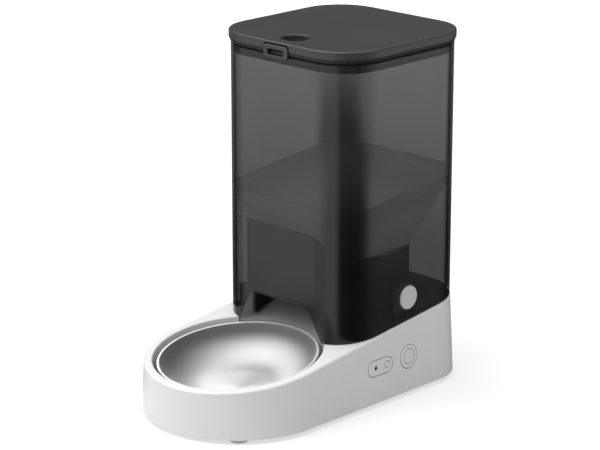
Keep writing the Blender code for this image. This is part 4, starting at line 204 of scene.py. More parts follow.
white_abs = moulded("white_abs", (0.64, 0.635, 0.645), 0.36, 0.000012, tint=0.008)
light_grey = moulded("light_grey", (0.50, 0.495, 0.505), 0.34, 0.00001, tint=0.01)
dark_inside = moulded("dark_inside", (0.03, 0.029, 0.03), 0.42, 0.000003)
tray_grey = moulded("tray_grey", (0.22, 0.215, 0.22), 0.4, 0.000003)
dark_liner = moulded("dark_liner", (0.008, 0.008, 0.008), 0.6, 0.00002)
grey_rubber = moulded("grey_rubber", (0.44, 0.43, 0.44), 0.62, 0.00003, drift=0.06)
nylon = moulded("nylon", (0.78, 0.77, 0.72), 0.42, 0.00001)
silicone = moulded("silicone", (0.16, 0.16, 0.165), 0.5, 0.00001)
black_rubber = moulded("black_rubber", (0.01, 0.01, 0.01), 0.6, 0.00002)
print("nine moulded finishes")

# %% [markdown]
# ## The lid, the funnel and the chute
# Three plastics change from place to place, so each has a graph of its own. The lid's satin stops at the
# rim of the fingertip dish, which is matt, and its colour there is painted almost black as shade in the
# recess. The funnel is milky: solid low down, with a painted glow there that stands for light getting through
# its wall, and clearer towards its rim. The chute has a little wear from the food, and its left wall inside
# the tank is painted dark as shade.

# %% Finish of the lid
DISH_Y = 0.0055
DISH_SHADE_IN = 0.0120
DISH_SHADE_OUT = 0.0131
LID_GRAIN = 0.00001
MATT_ROUGHNESS = 0.96
SATIN_GAIN = 0.6

dark_lid, shader, place = new_finish("dark_lid")
outside_dish = place.length(0.0, DISH_Y).smooth(DISH_SHADE_IN, DISH_SHADE_OUT)
cloud = place.noise(DRIFT_SCALE, 3)
# painted shade: inside the dish the colour goes almost black for the shade in the recess, with a little
# random tone from the cloud
shade = outside_dish * (0.95 + 0.05 * cloud)
feed(shader, "Base Color", shade.between((0.004, 0.004, 0.004), (0.0335, 0.032, 0.0335)))
feed(shader, "Roughness", MATT_ROUGHNESS - SATIN_GAIN * outside_dish + 0.08 * cloud)
feed(shader, "Normal", place.noise(GRAIN_SCALE, 1).bump(LID_GRAIN))
print("satin lid, matt from", DISH_SHADE_IN * 1000, "mm inwards")

# %% Finish of the funnel
FUNNEL_CLEAR_LOW = 0.135
FUNNEL_CLEAR_HIGH = 0.192
FUNNEL_CLEARNESS = 0.6
FUNNEL_PAINTED_GLOW = (0.10, 0.10, 0.10)

funnel_milky, shader, place = new_finish("funnel_milky", roughness=0.4, emission_strength=1.0)
milk = place.noise(DRIFT_SCALE, 3)
clear = place.part(Z).smooth(FUNNEL_CLEAR_LOW, FUNNEL_CLEAR_HIGH)
feed(shader, "Base Color", milk.between((0.78, 0.77, 0.78), (0.84, 0.83, 0.84)))
feed(shader, "Alpha", 1 - FUNNEL_CLEARNESS * clear)
# painted glow: low down the funnel emits light that stands for light passing through its wall
feed(shader, "Emission Color", clear.between(FUNNEL_PAINTED_GLOW, (0, 0, 0)))
print("milky funnel, clear above", FUNNEL_CLEAR_HIGH * 1000, "mm")

# %% Finish of the chute
WALL_SHADE_FAR = -0.045
WALL_SHADE_NEAR = -0.038
TANK_SHADE_FRONT = -0.002
TANK_SHADE_REAR = 0.004

chute_grey, shader, place = new_finish("chute_grey", roughness=0.3)
# painted shade: inside the tank the chute's left wall is darkened almost to black where shade falls; the fine
# noise is random wear
left_wall = 1 - place.part(X).smooth(WALL_SHADE_FAR, WALL_SHADE_NEAR)
in_tank = place.part(Y).smooth(TANK_SHADE_FRONT, TANK_SHADE_REAR)
painted_shade_and_wear = (1 - left_wall * in_tank) * (0.9 + 0.1 * place.noise(300, 3))
feed(shader, "Base Color", painted_shade_and_wear.between((0.012, 0.012, 0.012), (0.37, 0.365, 0.37)))
print("worn chute")

# %% [markdown]
# ## The smoky tank
# The tank is clear plastic with a little black in it. Real refraction through four thin walls is slow and
# adds little, so the wall is a dark gloss with a see-through share. That share and the colour hold painted
# light and shade: the flat sides let a little more through and are a little lighter at the top, as painted
# light from above; the front left and rear right corners are almost opaque, as painted shade; and the other
# two corners are clear at the top and darken downwards, also as painted shade. A corner is told from a side
# by its normal: the product of its X and Y is zero on a side and largest half way round a corner, and its
# sign tells one pair of corners from the other.

# %% Smoky finish
SMOKE_TOP = 0.30
SMOKE_LOW = 0.15
CLEAR_SHARE = 0.44
TOP_PAINTED_LIGHT = 0.06
CORNER_PAINTED_SHADE = 0.97
DEEPENING_PAINTED_SHADE = 0.85

smoky, shader, place = new_finish("smoky_tank", ior=1.5, specular_ior_level=0.5)
height = place.part(Z).smooth(SMOKE_LOW, SMOKE_TOP)
facing = place.node("NewGeometry", output="Normal")
diagonal = facing.part(X) * facing.part(Y) * 2
# painted shade: two opposite corners are made almost opaque, and the other two darker towards the bottom
painted_dark_corners = diagonal.smooth(0.62, 1.0)
painted_deepening_corners = (0 - diagonal).smooth(0.25, 0.95)
flow = place.noise(14, 2)
# painted light: the wall lets more through towards the top
see_through = CLEAR_SHARE + TOP_PAINTED_LIGHT * height
see_through = see_through * (1 - painted_deepening_corners * (DEEPENING_PAINTED_SHADE - DEEPENING_PAINTED_SHADE * height))
see_through = see_through * (1 - painted_dark_corners * CORNER_PAINTED_SHADE)
feed(shader, "Alpha", 1 - see_through)
# painted light: the colour is lighter towards the top; the flow noise is random tone
feed(shader, "Base Color", (height * 0.8 + flow * 0.2).between((0.003, 0.003, 0.003), (0.02, 0.0195, 0.02)))
feed(shader, "Roughness", flow * 0.04 + 0.17)
print("smoky finish, see-through share up to", CLEAR_SHARE + TOP_PAINTED_LIGHT)

# %% [markdown]
# ## Metals
# The bowl is pressed steel with a satin polish: its polishing marks are circles round its centre, which
# spread each highlight across them. The marks are drawn as height along the radius, measured in the bowl's
# own tilted frame, so they stay true rings. Small metal parts share a plainer steel, and brass has the same
# recipe in yellow.

# %% Metal finishes
DECK_FRONT_HEIGHT = 0.0425
DECK_REAR_HEIGHT = 0.0763
BASE_LENGTH = 0.290
DECK_SLOPE = (DECK_REAR_HEIGHT - DECK_FRONT_HEIGHT) / BASE_LENGTH
DECK_TILT = math.atan(DECK_SLOPE)
BOWL_CENTRE_Y = -0.0648
RING_SCALE = 1500
RING_DEPTH = 0.000025


def deck_height(y):
    """How high the deck's centre line stands at y."""
    return DECK_FRONT_HEIGHT + DECK_SLOPE * (y + BASE_LENGTH / 2)


def metal(name, colour, roughness, marks):
    """A satin metal with faint polishing marks."""
    finish, shader, place = new_finish(name, metallic=1.0)
    darker = tuple(0.9 * channel for channel in colour)
    feed(shader, "Base Color", place.noise(60, 3).between(darker, colour))
    feed(shader, "Roughness", place.noise(900, 2) * 0.1 + roughness)
    feed(shader, "Normal", place.noise(5200, 1).bump(marks))
    return finish


bright_steel = metal("bright_steel", (0.66, 0.65, 0.64), 0.22, 0.000004)
brass = metal("brass", (0.72, 0.55, 0.28), 0.26, 0.000004)

satin_steel, shader, place = new_finish("satin_steel", metallic=1.0, anisotropic=0.6)
in_bowl = place.node("Mapping", {"vector_type": "TEXTURE"}, {
    "Vector": place,
    "Location": (0, BOWL_CENTRE_Y, deck_height(BOWL_CENTRE_Y)),
    "Rotation": (DECK_TILT, 0, 0),
})
from_axis = in_bowl.length()
rings = from_axis.node("TexNoise", {"noise_dimensions": "1D"}, {
    "W": from_axis, "Scale": RING_SCALE, "Detail": 3
})
feed(shader, "Base Color", rings.between((0.385, 0.38, 0.385), (0.46, 0.455, 0.46)))
feed(shader, "Roughness", rings * 0.1 + 0.5)
feed(shader, "Normal", rings.bump(RING_DEPTH))
print("three metal finishes")

# %% [markdown]
# ## Board and lens
# The circuit boards are hidden in the base, but they still get the green lacquer of a real board with its
# faint weave. The lamp's lens is black under a clear, glossy coat.

# %% Board and lens finishes
circuit_board, shader, place = new_finish("circuit_board", roughness=0.32, coat_weight=0.4)
weave = place.node("TexWave", {"wave_type": "BANDS"}, {"Vector": place, "Scale": 260, "Distortion": 1.5})
feed(shader, "Base Color", weave.between((0.012, 0.10, 0.045), (0.02, 0.15, 0.07)))
feed(shader, "Normal", weave.bump(0.00002))

lens_black, shader, place = new_finish("lens_black", roughness=0.08, coat_weight=1.0)
feed(shader, "Base Color", place.noise(700, 2).between((0.006, 0.006, 0.007), (0.02, 0.02, 0.022)))
print("board and lens")

# %% [markdown]
# ## Tools for making solids
# Every new piece starts as a flat face or a short outline and is shaped by mesh operators: corners are
# rounded by bevelling vertices, faces are pulled into blocks, outlines are spun into round parts, and
# blocks are joined and cut with Boolean modifiers whose result is read back at once. The pieces stay in the
# part's own frame.

# %% Faces and blocks
MERGE = 0.000002
FINE_STEPS = 128
ROUND_STEPS = 64
FOOT_STEPS = 48
THIN_STEPS = 32
BORE_STEPS = 24
CORNER_STEPS = 20
SMALL_STEPS = 8
SMALL_EDGE = 0.0004
SHARP_ANGLE = math.radians(40)


def round_corners(shape, verts, radius, steps=CORNER_STEPS):
    """Rounds corners of a flat face."""
    bmesh.ops.bevel(
        shape, geom=verts, offset=radius, offset_type="OFFSET", segments=steps, profile=0.5,
        affect="VERTICES", material=-1,
    )
    bmesh.ops.remove_doubles(shape, verts=shape.verts, dist=MERGE)


def rectangle(left, front, right, rear):
    """A level rectangular face."""
    shape = bmesh.new()
    bmesh.ops.create_grid(shape, x_segments=1, y_segments=1, size=0.5)
    bmesh.ops.scale(shape, vec=(right - left, rear - front, 1), verts=shape.verts)
    bmesh.ops.translate(shape, vec=((left + right) / 2, (front + rear) / 2, 0), verts=shape.verts)
    return shape


def rounded_plate(half_x, half_y, corner, centre=(0, 0), steps=CORNER_STEPS):
    """A level face with four rounded corners."""
    x, y = centre
    shape = rectangle(x - half_x, y - half_y, x + half_x, y + half_y)
    round_corners(shape, shape.verts[:], corner, steps)
    return shape


def polygon(points):
    """A level face from a few corners."""
    shape = bmesh.new()
    shape.faces.new([shape.verts.new((x, y, 0)) for x, y in points])
    bmesh.ops.recalc_face_normals(shape, faces=shape.faces)
    return shape


def pulled(shape, low, high):
    """A face's upright block between two heights."""
    bmesh.ops.translate(shape, vec=(0, 0, low), verts=shape.verts)
    made = bmesh.ops.extrude_face_region(shape, geom=shape.faces[:])["geom"]
    top = [part for part in made if isinstance(part, bmesh.types.BMVert)]
    bmesh.ops.translate(shape, vec=(0, 0, high - low), verts=top)
    bmesh.ops.recalc_face_normals(shape, faces=shape.faces)
    return shape


def sliced(shape, point, normal):
    """The part of a solid behind a plane, closed again. Returns the new rim's edges too."""
    everything = shape.verts[:] + shape.edges[:] + shape.faces[:]
    made = bmesh.ops.bisect_plane(
        shape, geom=everything, dist=MERGE / 10, plane_co=point, plane_no=normal, clear_outer=True
    )["geom_cut"]
    rim = [part for part in made if isinstance(part, bmesh.types.BMEdge)]
    bmesh.ops.contextual_create(shape, geom=rim)
    bmesh.ops.recalc_face_normals(shape, faces=shape.faces)
    return rim


def softened(shape, edges, width, segments=3):
    """Rounds edges of a solid."""
    bmesh.ops.bevel(
        shape, geom=edges, offset=width, offset_type="OFFSET", segments=segments, profile=0.5,
        affect="EDGES", clamp_overlap=True, material=-1,
    )
    return shape


def sharp_edges(shape):
    """The edges where a solid's faces meet at more than SHARP_ANGLE."""
    return [edge for edge in shape.edges if edge.is_manifold and edge.calc_face_angle() > SHARP_ANGLE]


def edges_at_height(shape, height):
    """The edges that lie in one level plane."""
    return [edge for edge in shape.edges if all(abs(vert.co.z - height) < MERGE for vert in edge.verts)]


print("corners of faces are rounded in", CORNER_STEPS, "steps")


# %% Round parts
RING_MARGIN = 5 * MERGE


def spun(outline, steps, closed):
    """A skin spun about Z from an open or closed outline of (radius, height)."""
    shape = bmesh.new()
    verts = [shape.verts.new((radius, 0, height)) for radius, height in outline]
    following = verts[1:] + verts[:1] if closed else verts[1:]
    for first, second in zip(verts, following):
        if first.co.x or second.co.x:
            shape.edges.new((first, second))
    line = shape.verts[:] + shape.edges[:]
    bmesh.ops.spin(shape, geom=line, axis=(0, 0, 1), angle=2 * math.pi, steps=steps, use_merge=True)
    bmesh.ops.remove_doubles(shape, verts=shape.verts, dist=MERGE)
    return shape


def turned(profile, steps=ROUND_STEPS):
    """A solid spun about Z from a closed outline of (radius, height)."""
    shape = spun(profile, steps, closed=True)
    bmesh.ops.dissolve_degenerate(shape, edges=shape.edges, dist=MERGE)
    bmesh.ops.recalc_face_normals(shape, faces=shape.faces)
    return shape


def ring_edges(shape, radius, height):
    """The edges of a turned shape that run round it at one radius and height."""
    def on_ring(vert):
        return abs(vert.co.xy.length - radius) < RING_MARGIN and abs(vert.co.z - height) < RING_MARGIN
    return [edge for edge in shape.edges if all(on_ring(vert) for vert in edge.verts)]


def rod(radius, low, high, steps=ROUND_STEPS):
    """A round rod about Z."""
    return turned([(0, low), (radius, low), (radius, high), (0, high)], steps)


print("round parts are turned in", ROUND_STEPS, "steps")


# %% Places, joins and cuts
def at(shape, place):
    """A solid moved to a frame, turned right side out if the frame mirrors."""
    bmesh.ops.transform(shape, matrix=place, verts=shape.verts)
    if place.determinant() < 0:
        bmesh.ops.reverse_faces(shape, faces=shape.faces)
    return shape


def moved(shape, x, y):
    """A solid moved level."""
    return at(shape, Matrix.Translation((x, y, 0)))


def scratch(shape):
    """A solid as an object that lives only while it is cut."""
    mesh = bpy.data.meshes.new("scratch")
    shape.to_mesh(mesh)
    shape.free()
    made = bpy.data.objects.new("scratch", mesh)
    bpy.context.scene.collection.objects.link(made)
    return made


def combined(operation, shape, tools):
    """A solid after joins or cuts, read back from Boolean modifiers."""
    host = scratch(shape)
    others = [scratch(tool) for tool in tools]
    for other in others:
        modifier = host.modifiers.new(operation, "BOOLEAN")
        modifier.operation = operation
        modifier.solver = "MANIFOLD"
        modifier.object = other
    result = bmesh.new()
    result.from_object(host, bpy.context.evaluated_depsgraph_get())
    for old in [host, *others]:
        mesh = old.data
        bpy.data.objects.remove(old)
        bpy.data.meshes.remove(mesh)
    return result


def joined(shape, *tools):
    """A solid with others added to it."""
    return combined("UNION", shape, tools)


def carved(shape, *tools):
    """A solid with others cut out of it."""
    return combined("DIFFERENCE", shape, tools)


print("joins and cuts ready")

# %% Hand a piece to the part
SMOOTH_BELOW = math.radians(34)


def piece(name, shape, body, finish, node):
    """A finished piece that rides on a body and stands for a CAD node."""
    mesh = bpy.data.meshes.new(name)
    shape.to_mesh(mesh)
    shape.free()
    mesh.materials.append(finish)
    mesh.shade_smooth()
    mesh.set_sharp_from_angle(angle=SMOOTH_BELOW)
    made = bpy.data.objects.new(name, mesh)
    bpy.context.scene.collection.objects.link(made)
    weighted = made.modifiers.new("even shading", "WEIGHTED_NORMAL")
    weighted.keep_sharp = True
    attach(made, body)
    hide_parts(node)
    loose = sum(1 for edge in mesh.edges if edge.is_loose)
    print(f"{name}: {len(mesh.polygons)} faces, {loose} loose edges")


# %% [markdown]
# ## The white base
# The base is one white moulding: a half circle in front, rounded corners behind, walls that lean in by
# under three degrees, and a deck that rises to the rear. It is pulled from one rounded face with an inset
# that leans the walls, sliced by the deck's plane, and softened along the deck's rim. The well, the tank's
# seat and the holes are cut afterwards, because a cut keeps each of them exact on the sloping deck. GAP is
# the play between two parts, REACH is how far a cutter goes past the face that it opens, and BLOCK_TOP is how
# high a block is drawn before the deck's plane cuts it off.

# %% Base sizes and frames
BASE_HALF = 0.0825
REAR_CORNER = 0.0435
FOOT_HEIGHT = 0.004
WALL_LEAN = math.radians(2.75)
BASE_WALL = 0.0025
DECK_EDGE = 0.0022
NOSE_STEPS = 40
GAP = 0.0003
REACH = 0.006
BLOCK_TOP = 0.085
TANK_CENTRE_Y = 0.0624
deck_normal = Vector((0, -math.sin(DECK_TILT), math.cos(DECK_TILT)))


def deck_frame(y, offset=0.0):
    """A frame on the deck's centre line whose Z stands square to the deck."""
    place = Matrix.Translation((0, y, deck_height(y))) @ Matrix.Rotation(DECK_TILT, 4, "X")
    return place @ Matrix.Translation((0, 0, offset))


def side_frame(y, height):
    """A frame on the base's right wall: X to the rear, Y up the wall, Z out of it."""
    x = BASE_HALF - math.tan(WALL_LEAN) * (height - FOOT_HEIGHT)
    lean, rise = math.cos(WALL_LEAN), math.sin(WALL_LEAN)
    return Matrix(((0, -rise, lean, x), (1, 0, 0, y), (0, lean, rise, height), (0, 0, 0, 1)))


def facing_right(x, y, z):
    """A frame whose Z points right and whose Y points up."""
    return Matrix(((0, 0, 1, x), (1, 0, 0, y), (0, 1, 0, z), (0, 0, 0, 1)))


def facing_back(x, y, z):
    """A frame whose Z points to the rear and whose Y points up."""
    return Matrix(((-1, 0, 0, x), (0, 0, 1, y), (0, 1, 0, z), (0, 0, 0, 1)))


def upright(y):
    """A frame with its X to the right, its Y up and its Z to the rear, which mirrors what is drawn in it."""
    return Matrix(((1, 0, 0, 0), (0, 0, 1, y), (0, 1, 0, 0), (0, 0, 0, 1)))


def mirrored_side(shape):
    """A solid on the right of the tank, turned half round to its left."""
    centre = Matrix.Translation((0, TANK_CENTRE_Y, 0))
    return at(shape, centre @ Matrix.Rotation(math.pi, 4, "Z") @ centre.inverted())


print("the deck rises", round(math.degrees(DECK_TILT), 2), "degrees to the rear")


# %% Blocks that follow the deck
def plane_over_deck(offset):
    """A point of the plane that lies offset above the deck."""
    return 0, 0, deck_height(0) + offset / math.cos(DECK_TILT)


def base_block(inset, roof):
    """The base's solid, drawn in all round by inset, and the edges of its top, roof above the deck."""
    half, length = BASE_HALF - inset, BASE_LENGTH / 2 - inset
    shape = rectangle(-half, -length, half, length)
    front = [vert for vert in shape.verts if vert.co.y < 0]
    round_corners(shape, front, half - MERGE / 4, NOSE_STEPS)
    rear = [vert for vert in shape.verts if vert.co.y > length - MERGE]
    round_corners(shape, rear, REAR_CORNER - inset)
    low = FOOT_HEIGHT - (REACH if inset else 0)
    bmesh.ops.translate(shape, vec=(0, 0, low), verts=shape.verts)
    rise = BLOCK_TOP - low
    bmesh.ops.inset_region(
        shape, faces=shape.faces[:], thickness=math.tan(WALL_LEAN) * rise, depth=rise,
        use_even_offset=True, use_boundary=True,
    )
    bmesh.ops.contextual_create(shape, geom=[edge for edge in shape.edges if edge.is_boundary])
    bmesh.ops.recalc_face_normals(shape, faces=shape.faces)
    return shape, sliced(shape, plane_over_deck(roof), deck_normal)


def between_decks(shape, low, high):
    """A face's upright block between two planes parallel to the deck."""
    pulled(shape, 0.0, BLOCK_TOP * 2)
    sliced(shape, plane_over_deck(high), deck_normal)
    sliced(shape, plane_over_deck(low), -deck_normal)
    return shape


print("blocks that follow the deck ready")

# %% Base shell
WELL_CENTRE_Y = -0.0643
WELL_RADIUS = 0.0725
WELL_LEAN = math.radians(5)
WELL_DEPTH = 0.0336
WELL_CURVE = 0.0147
WELL_LIP = 0.0006
SEAT_INSET = 0.006
SEAT_DEPTH = 0.0055
CHUTE_ROOM = 0.0023
TANK_HALF = 0.0782
TANK_CORNER = 0.0382
TOWER_LOW = 0.053
TOWER_TOP = 0.080
TOWER_FOOT_RADIUS = 0.015
TOWER_TOP_RADIUS = 0.0125


def well_cup(extra, above):
    """The solid that fills the well, wider and deeper by extra, with its top at above."""
    radius, depth = WELL_RADIUS + extra, WELL_DEPTH + extra
    floor = radius - math.tan(WELL_LEAN) * depth
    outline = [(0, above), (radius, above), (radius, 0), (floor, -depth), (0, -depth)]
    shape = turned(outline, FINE_STEPS)
    return softened(shape, ring_edges(shape, floor, -depth), WELL_CURVE, 10)


def tank_plate(inset):
    """The tank's plan, drawn in all round by inset."""
    return rounded_plate(TANK_HALF - inset, TANK_HALF - inset, TANK_CORNER - inset, (0, TANK_CENTRE_Y))


def chute_plate(offset, forward):
    """The plan of the chute's seat, wider by offset and drawn out to the front."""
    mouth_half, bend_half, back_half = 0.0515, 0.047, 0.042
    mouth_y, bend_y, back_y = -0.013, -0.0005, 0.046
    flare = (mouth_half - bend_half) / (bend_y - mouth_y)
    right = [(mouth_half + flare * forward + offset, mouth_y - forward), (bend_half + offset, bend_y)]
    right.append((back_half + offset, back_y + offset))
    return polygon(right + [(-x, y) for x, y in reversed(right)])


shell, rim = base_block(0.0, 0.0)
softened(shell, rim, DECK_EDGE, 5)
inside, _ = base_block(BASE_WALL, -BASE_WALL)
shell = carved(shell, inside)
well_frame = deck_frame(WELL_CENTRE_Y)
shell = joined(
    shell,
    at(well_cup(BASE_WALL, -BASE_WALL / 2), well_frame),
    between_decks(tank_plate(SEAT_INSET - BASE_WALL), -SEAT_DEPTH - BASE_WALL, -BASE_WALL / 2),
    between_decks(chute_plate(CHUTE_ROOM + BASE_WALL, BASE_WALL), -SEAT_DEPTH - BASE_WALL, -BASE_WALL / 2),
)
lip_radius = WELL_RADIUS + 2 * WELL_LIP
well_mouth = turned([(0, 0), (WELL_RADIUS, -WELL_LIP), (lip_radius, WELL_LIP), (0, WELL_LIP)], FINE_STEPS)
shell = carved(
    shell,
    at(well_cup(0.0, REACH), well_frame),
    at(well_mouth, well_frame),
    between_decks(tank_plate(SEAT_INSET), -SEAT_DEPTH, REACH),
    between_decks(chute_plate(CHUTE_ROOM, GAP), -SEAT_DEPTH, REACH),
)
tower_profile = [
    (0, TOWER_LOW),
    (TOWER_FOOT_RADIUS - BASE_WALL, TOWER_LOW),
    (TOWER_FOOT_RADIUS, deck_height(TANK_CENTRE_Y) - SEAT_DEPTH),
    (TOWER_TOP_RADIUS, TOWER_TOP - GAP),
    (TOWER_TOP_RADIUS - GAP, TOWER_TOP),
    (0, TOWER_TOP),
]
shell = joined(shell, moved(turned(tower_profile), 0, TANK_CENTRE_Y))
print("base shell so far:", len(shell.faces), "faces")

# %% Holes in the base
PANEL_Y = 0.0252
PANEL_HALF = 0.015
PANEL_HALF_WIDTH = 0.00675
CONTROL_HEIGHT = 0.035
FEED_Y = 0.061
FEED_RADIUS = 0.01015
INLET_HEIGHT = 0.033
INLET_RADIUS = 0.0046
LINE_GAP = 0.00055
MOUTH_FLARE = 0.0003
TOWER_BORE = 0.0073
HOOK_SLOT = (0.0643, 0.0550, 0.0719, 0.0698)
CUT_LOW = 0.04
CUT_HIGH = 0.09


def hole_edge(radius):
    """A round cutter along Z, through the base's wall, whose mouth opens by a small flare at z = 0."""
    low = -BASE_WALL - REACH
    wide = radius + MOUTH_FLARE
    return turned([(0, low), (radius, low), (radius, -MOUTH_FLARE), (wide, 0), (wide, REACH), (0, REACH)])


def pill(extra=0.0):
    """The control plate's face, wider all round by extra."""
    half_width = PANEL_HALF_WIDTH + extra
    return rounded_plate(PANEL_HALF + extra, half_width, half_width - MERGE / 4)


def hook_slot():
    """A cutter for the right-hand release hook's slot."""
    return pulled(rectangle(*HOOK_SLOT), CUT_LOW, CUT_HIGH)


rear_wall = BASE_LENGTH / 2 - math.tan(WALL_LEAN) * (INLET_HEIGHT - FOOT_HEIGHT)
panel_frame = side_frame(PANEL_Y, CONTROL_HEIGHT)
shell = carved(
    shell,
    moved(rod(TOWER_BORE, CUT_LOW, CUT_HIGH), 0, TANK_CENTRE_Y),
    at(pulled(pill(LINE_GAP), -BASE_WALL - REACH, REACH), panel_frame),
    at(pulled(pill(1.5 * LINE_GAP), -GAP, REACH), panel_frame),
    at(hole_edge(FEED_RADIUS + LINE_GAP), side_frame(FEED_Y, CONTROL_HEIGHT)),
    at(hole_edge(INLET_RADIUS + GAP), facing_back(0, rear_wall, INLET_HEIGHT)),
    hook_slot(),
    mirrored_side(hook_slot()),
)
piece("base_housing", shell, "base", white_abs, "base_shell")

# %% [markdown]
# ## The steel bowl
# A feeder's bowl is pressed from one millimetre of steel, with a rolled rim that hides the cut edge. It
# could be turned as a solid, but a press makes a sheet, so a single skin is spun first, its corners are
# rolled by bevels, and only then is it given its thickness.

# %% Bowl
BOWL_RADIUS = 0.069
BOWL_DEPTH = 0.030
BOWL_DROP = 0.0033
BOWL_SHEET = 0.001
BOWL_RIM = 0.0024
BOWL_LEAN = math.radians(22)
BOWL_CURVE = 0.026
BEAD = 0.0008
BOWL_STEPS = 160


def sheet_cup(steps):
    """The bowl's upper skin: floor, wall, rim and the rolled edge."""
    wall_top = BOWL_RADIUS - BOWL_RIM
    floor = wall_top - math.tan(BOWL_LEAN) * BOWL_DEPTH
    inside = [(0, -BOWL_DEPTH), (floor, -BOWL_DEPTH), (wall_top, 0)]
    shape = spun([*inside, (BOWL_RADIUS, 0), (BOWL_RADIUS, -2 * BEAD)], steps, closed=False)
    bmesh.ops.recalc_face_normals(shape, faces=shape.faces)
    softened(shape, ring_edges(shape, floor, -BOWL_DEPTH), BOWL_CURVE, 14)
    softened(shape, ring_edges(shape, wall_top, 0), BEAD, 4)
    softened(shape, ring_edges(shape, BOWL_RADIUS, 0), BEAD, 4)
    return shape


bowl = sheet_cup(BOWL_STEPS)
up = sum(face.normal.z for face in bowl.faces) > 0
bmesh.ops.solidify(bowl, geom=bowl.faces[:], thickness=BOWL_SHEET if up else -BOWL_SHEET)
bmesh.ops.recalc_face_normals(bowl, faces=bowl.faces)
at(bowl, deck_frame(BOWL_CENTRE_Y, -BOWL_DROP))
piece("steel_bowl", bowl, "bowl_body", satin_steel, "bowl")

# %% [markdown]
# ## The smoky tank
# The tank is a rounded square tube that stands on the sloping deck, so its foot is sliced at the deck's
# angle. An arch is cut in its front for the chute and a round hole in each side for a release button. A
# tongue for the latch is added in front, and two lugs behind hold the hinge's pins.

# %% Tank
TANK_TOP = 0.2983
TANK_WALL = 0.002
TANK_FOOT = 0.0005
TANK_BLOCK_LOW = 0.03
RELEASE_HEIGHT = 0.0874
RELEASE_RADIUS = 0.0103
TANK_FRONT_Y = TANK_CENTRE_Y - TANK_HALF
ARCH_LOW = 0.050
ARCH_TOP = 0.0862
ARCH_LOW_HALF = 0.0541
ARCH_TOP_HALF = 0.0345
ARCH_CORNER = 0.0062
TONGUE_HALF = 0.0086
TONGUE_FRONT_Y = -0.0162
TONGUE_LOW = 0.290
TONGUE_TOP = 0.3018
HINGE_Y = 0.1396
HINGE_HEIGHT = 0.3005
KNUCKLE_RADIUS = 0.0026
LUG_INNER_X = 0.022
LUG_WIDTH = 0.008
LUG_HALF = 0.001
PIN_BORE = 0.0015
HINGE_ROOM_X = 0.0385


def arch_cutter():
    """The outlet's outline, pushed through the front wall."""
    shape = polygon([
        (-ARCH_LOW_HALF, ARCH_LOW), (ARCH_LOW_HALF, ARCH_LOW),
        (ARCH_TOP_HALF, ARCH_TOP), (-ARCH_TOP_HALF, ARCH_TOP),
    ])
    upper = [vert for vert in shape.verts if vert.co.y > ARCH_TOP - MERGE]
    round_corners(shape, upper, ARCH_CORNER, SMALL_STEPS)
    return at(pulled(shape, -REACH, 2 * REACH), upright(TANK_FRONT_Y))


def release_hole():
    """A cutter for the right-hand release button's hole."""
    return at(hole_edge(RELEASE_RADIUS + GAP), facing_right(TANK_HALF, TANK_CENTRE_Y, RELEASE_HEIGHT))


def box(left, front, low, right, rear, high):
    """A block between two opposite corners."""
    return pulled(rectangle(left, front, right, rear), low, high)


def hinge_rod(radius, left, right, steps=ROUND_STEPS):
    """A rod on the hinge's axis between two x values."""
    return at(rod(radius, 0, right - left, steps=steps), facing_right(left, HINGE_Y, HINGE_HEIGHT))


tank = pulled(tank_plate(0.0), TANK_BLOCK_LOW, TANK_TOP)
sliced(tank, (0, 0, deck_height(0) + TANK_FOOT), -deck_normal)
softened(tank, edges_at_height(tank, TANK_TOP), SMALL_EDGE, 2)
tank = carved(tank, pulled(tank_plate(TANK_WALL), 0.0, TANK_TOP + REACH), arch_cutter())
tank = carved(tank, release_hole(), mirrored_side(release_hole()))
tongue_rear = TANK_FRONT_Y + TANK_WALL - GAP
tongue = box(-TONGUE_HALF, TONGUE_FRONT_Y, TONGUE_LOW, TONGUE_HALF, tongue_rear, TONGUE_TOP)
tank = joined(tank, softened(tongue, sharp_edges(tongue), SMALL_EDGE, 2))
for side in (-1, 1):
    left, right = sorted((side * LUG_INNER_X, side * (LUG_INNER_X + LUG_WIDTH)))
    room_left, room_right = sorted((side * (LUG_INNER_X + LUG_WIDTH), side * HINGE_ROOM_X))
    tank = joined(
        tank,
        box(left, HINGE_Y - LUG_HALF, TANK_TOP - KNUCKLE_RADIUS, right, HINGE_Y + LUG_HALF, HINGE_HEIGHT),
        hinge_rod(KNUCKLE_RADIUS, left, right),
    )
    tank = carved(
        tank,
        hinge_rod(KNUCKLE_RADIUS + GAP, room_left, room_right),
        hinge_rod(PIN_BORE, left - REACH, right + REACH, BORE_STEPS),
    )
piece("smoky_tank", tank, "tank", smoky, "tank_shell")

# %% [markdown]
# ## The lid
# The lid is a shallow dark cap with a soft upper edge, a dished hole for a fingertip and a notch in front
# for the latch. The dish is a turned cutter, and a collar under it carries the button. Two short bores at
# the rear leave room for the hinge.

# %% Lid cap
LID_HALF = 0.080
LID_CORNER = 0.040
LID_TOP = 0.310
LID_BOTTOM = 0.303
LID_SHEET = 0.0025
LID_EDGE = 0.0014
LID_LOW_EDGE = 0.0003
BUTTON_Y = DISH_Y
DISH_RADIUS = 0.013
DISH_FLOOR_RADIUS = 0.0092
DISH_FLOOR = 0.3042
DISH_LIP = 0.0005
COLLAR = 0.0012
NOTCH_HALF = 0.0146
NOTCH_TOP = 0.3084
NOTCH_CORNER = 0.0028
NOTCH_DEPTH = LID_SHEET + 0.0005
LID_CORNER_STEPS = 28


def lid_plate(inset):
    """The lid's plan, drawn in all round by inset."""
    half, corner = LID_HALF - inset, LID_CORNER - inset
    return rounded_plate(half, half, corner, (0, TANK_CENTRE_Y), LID_CORNER_STEPS)


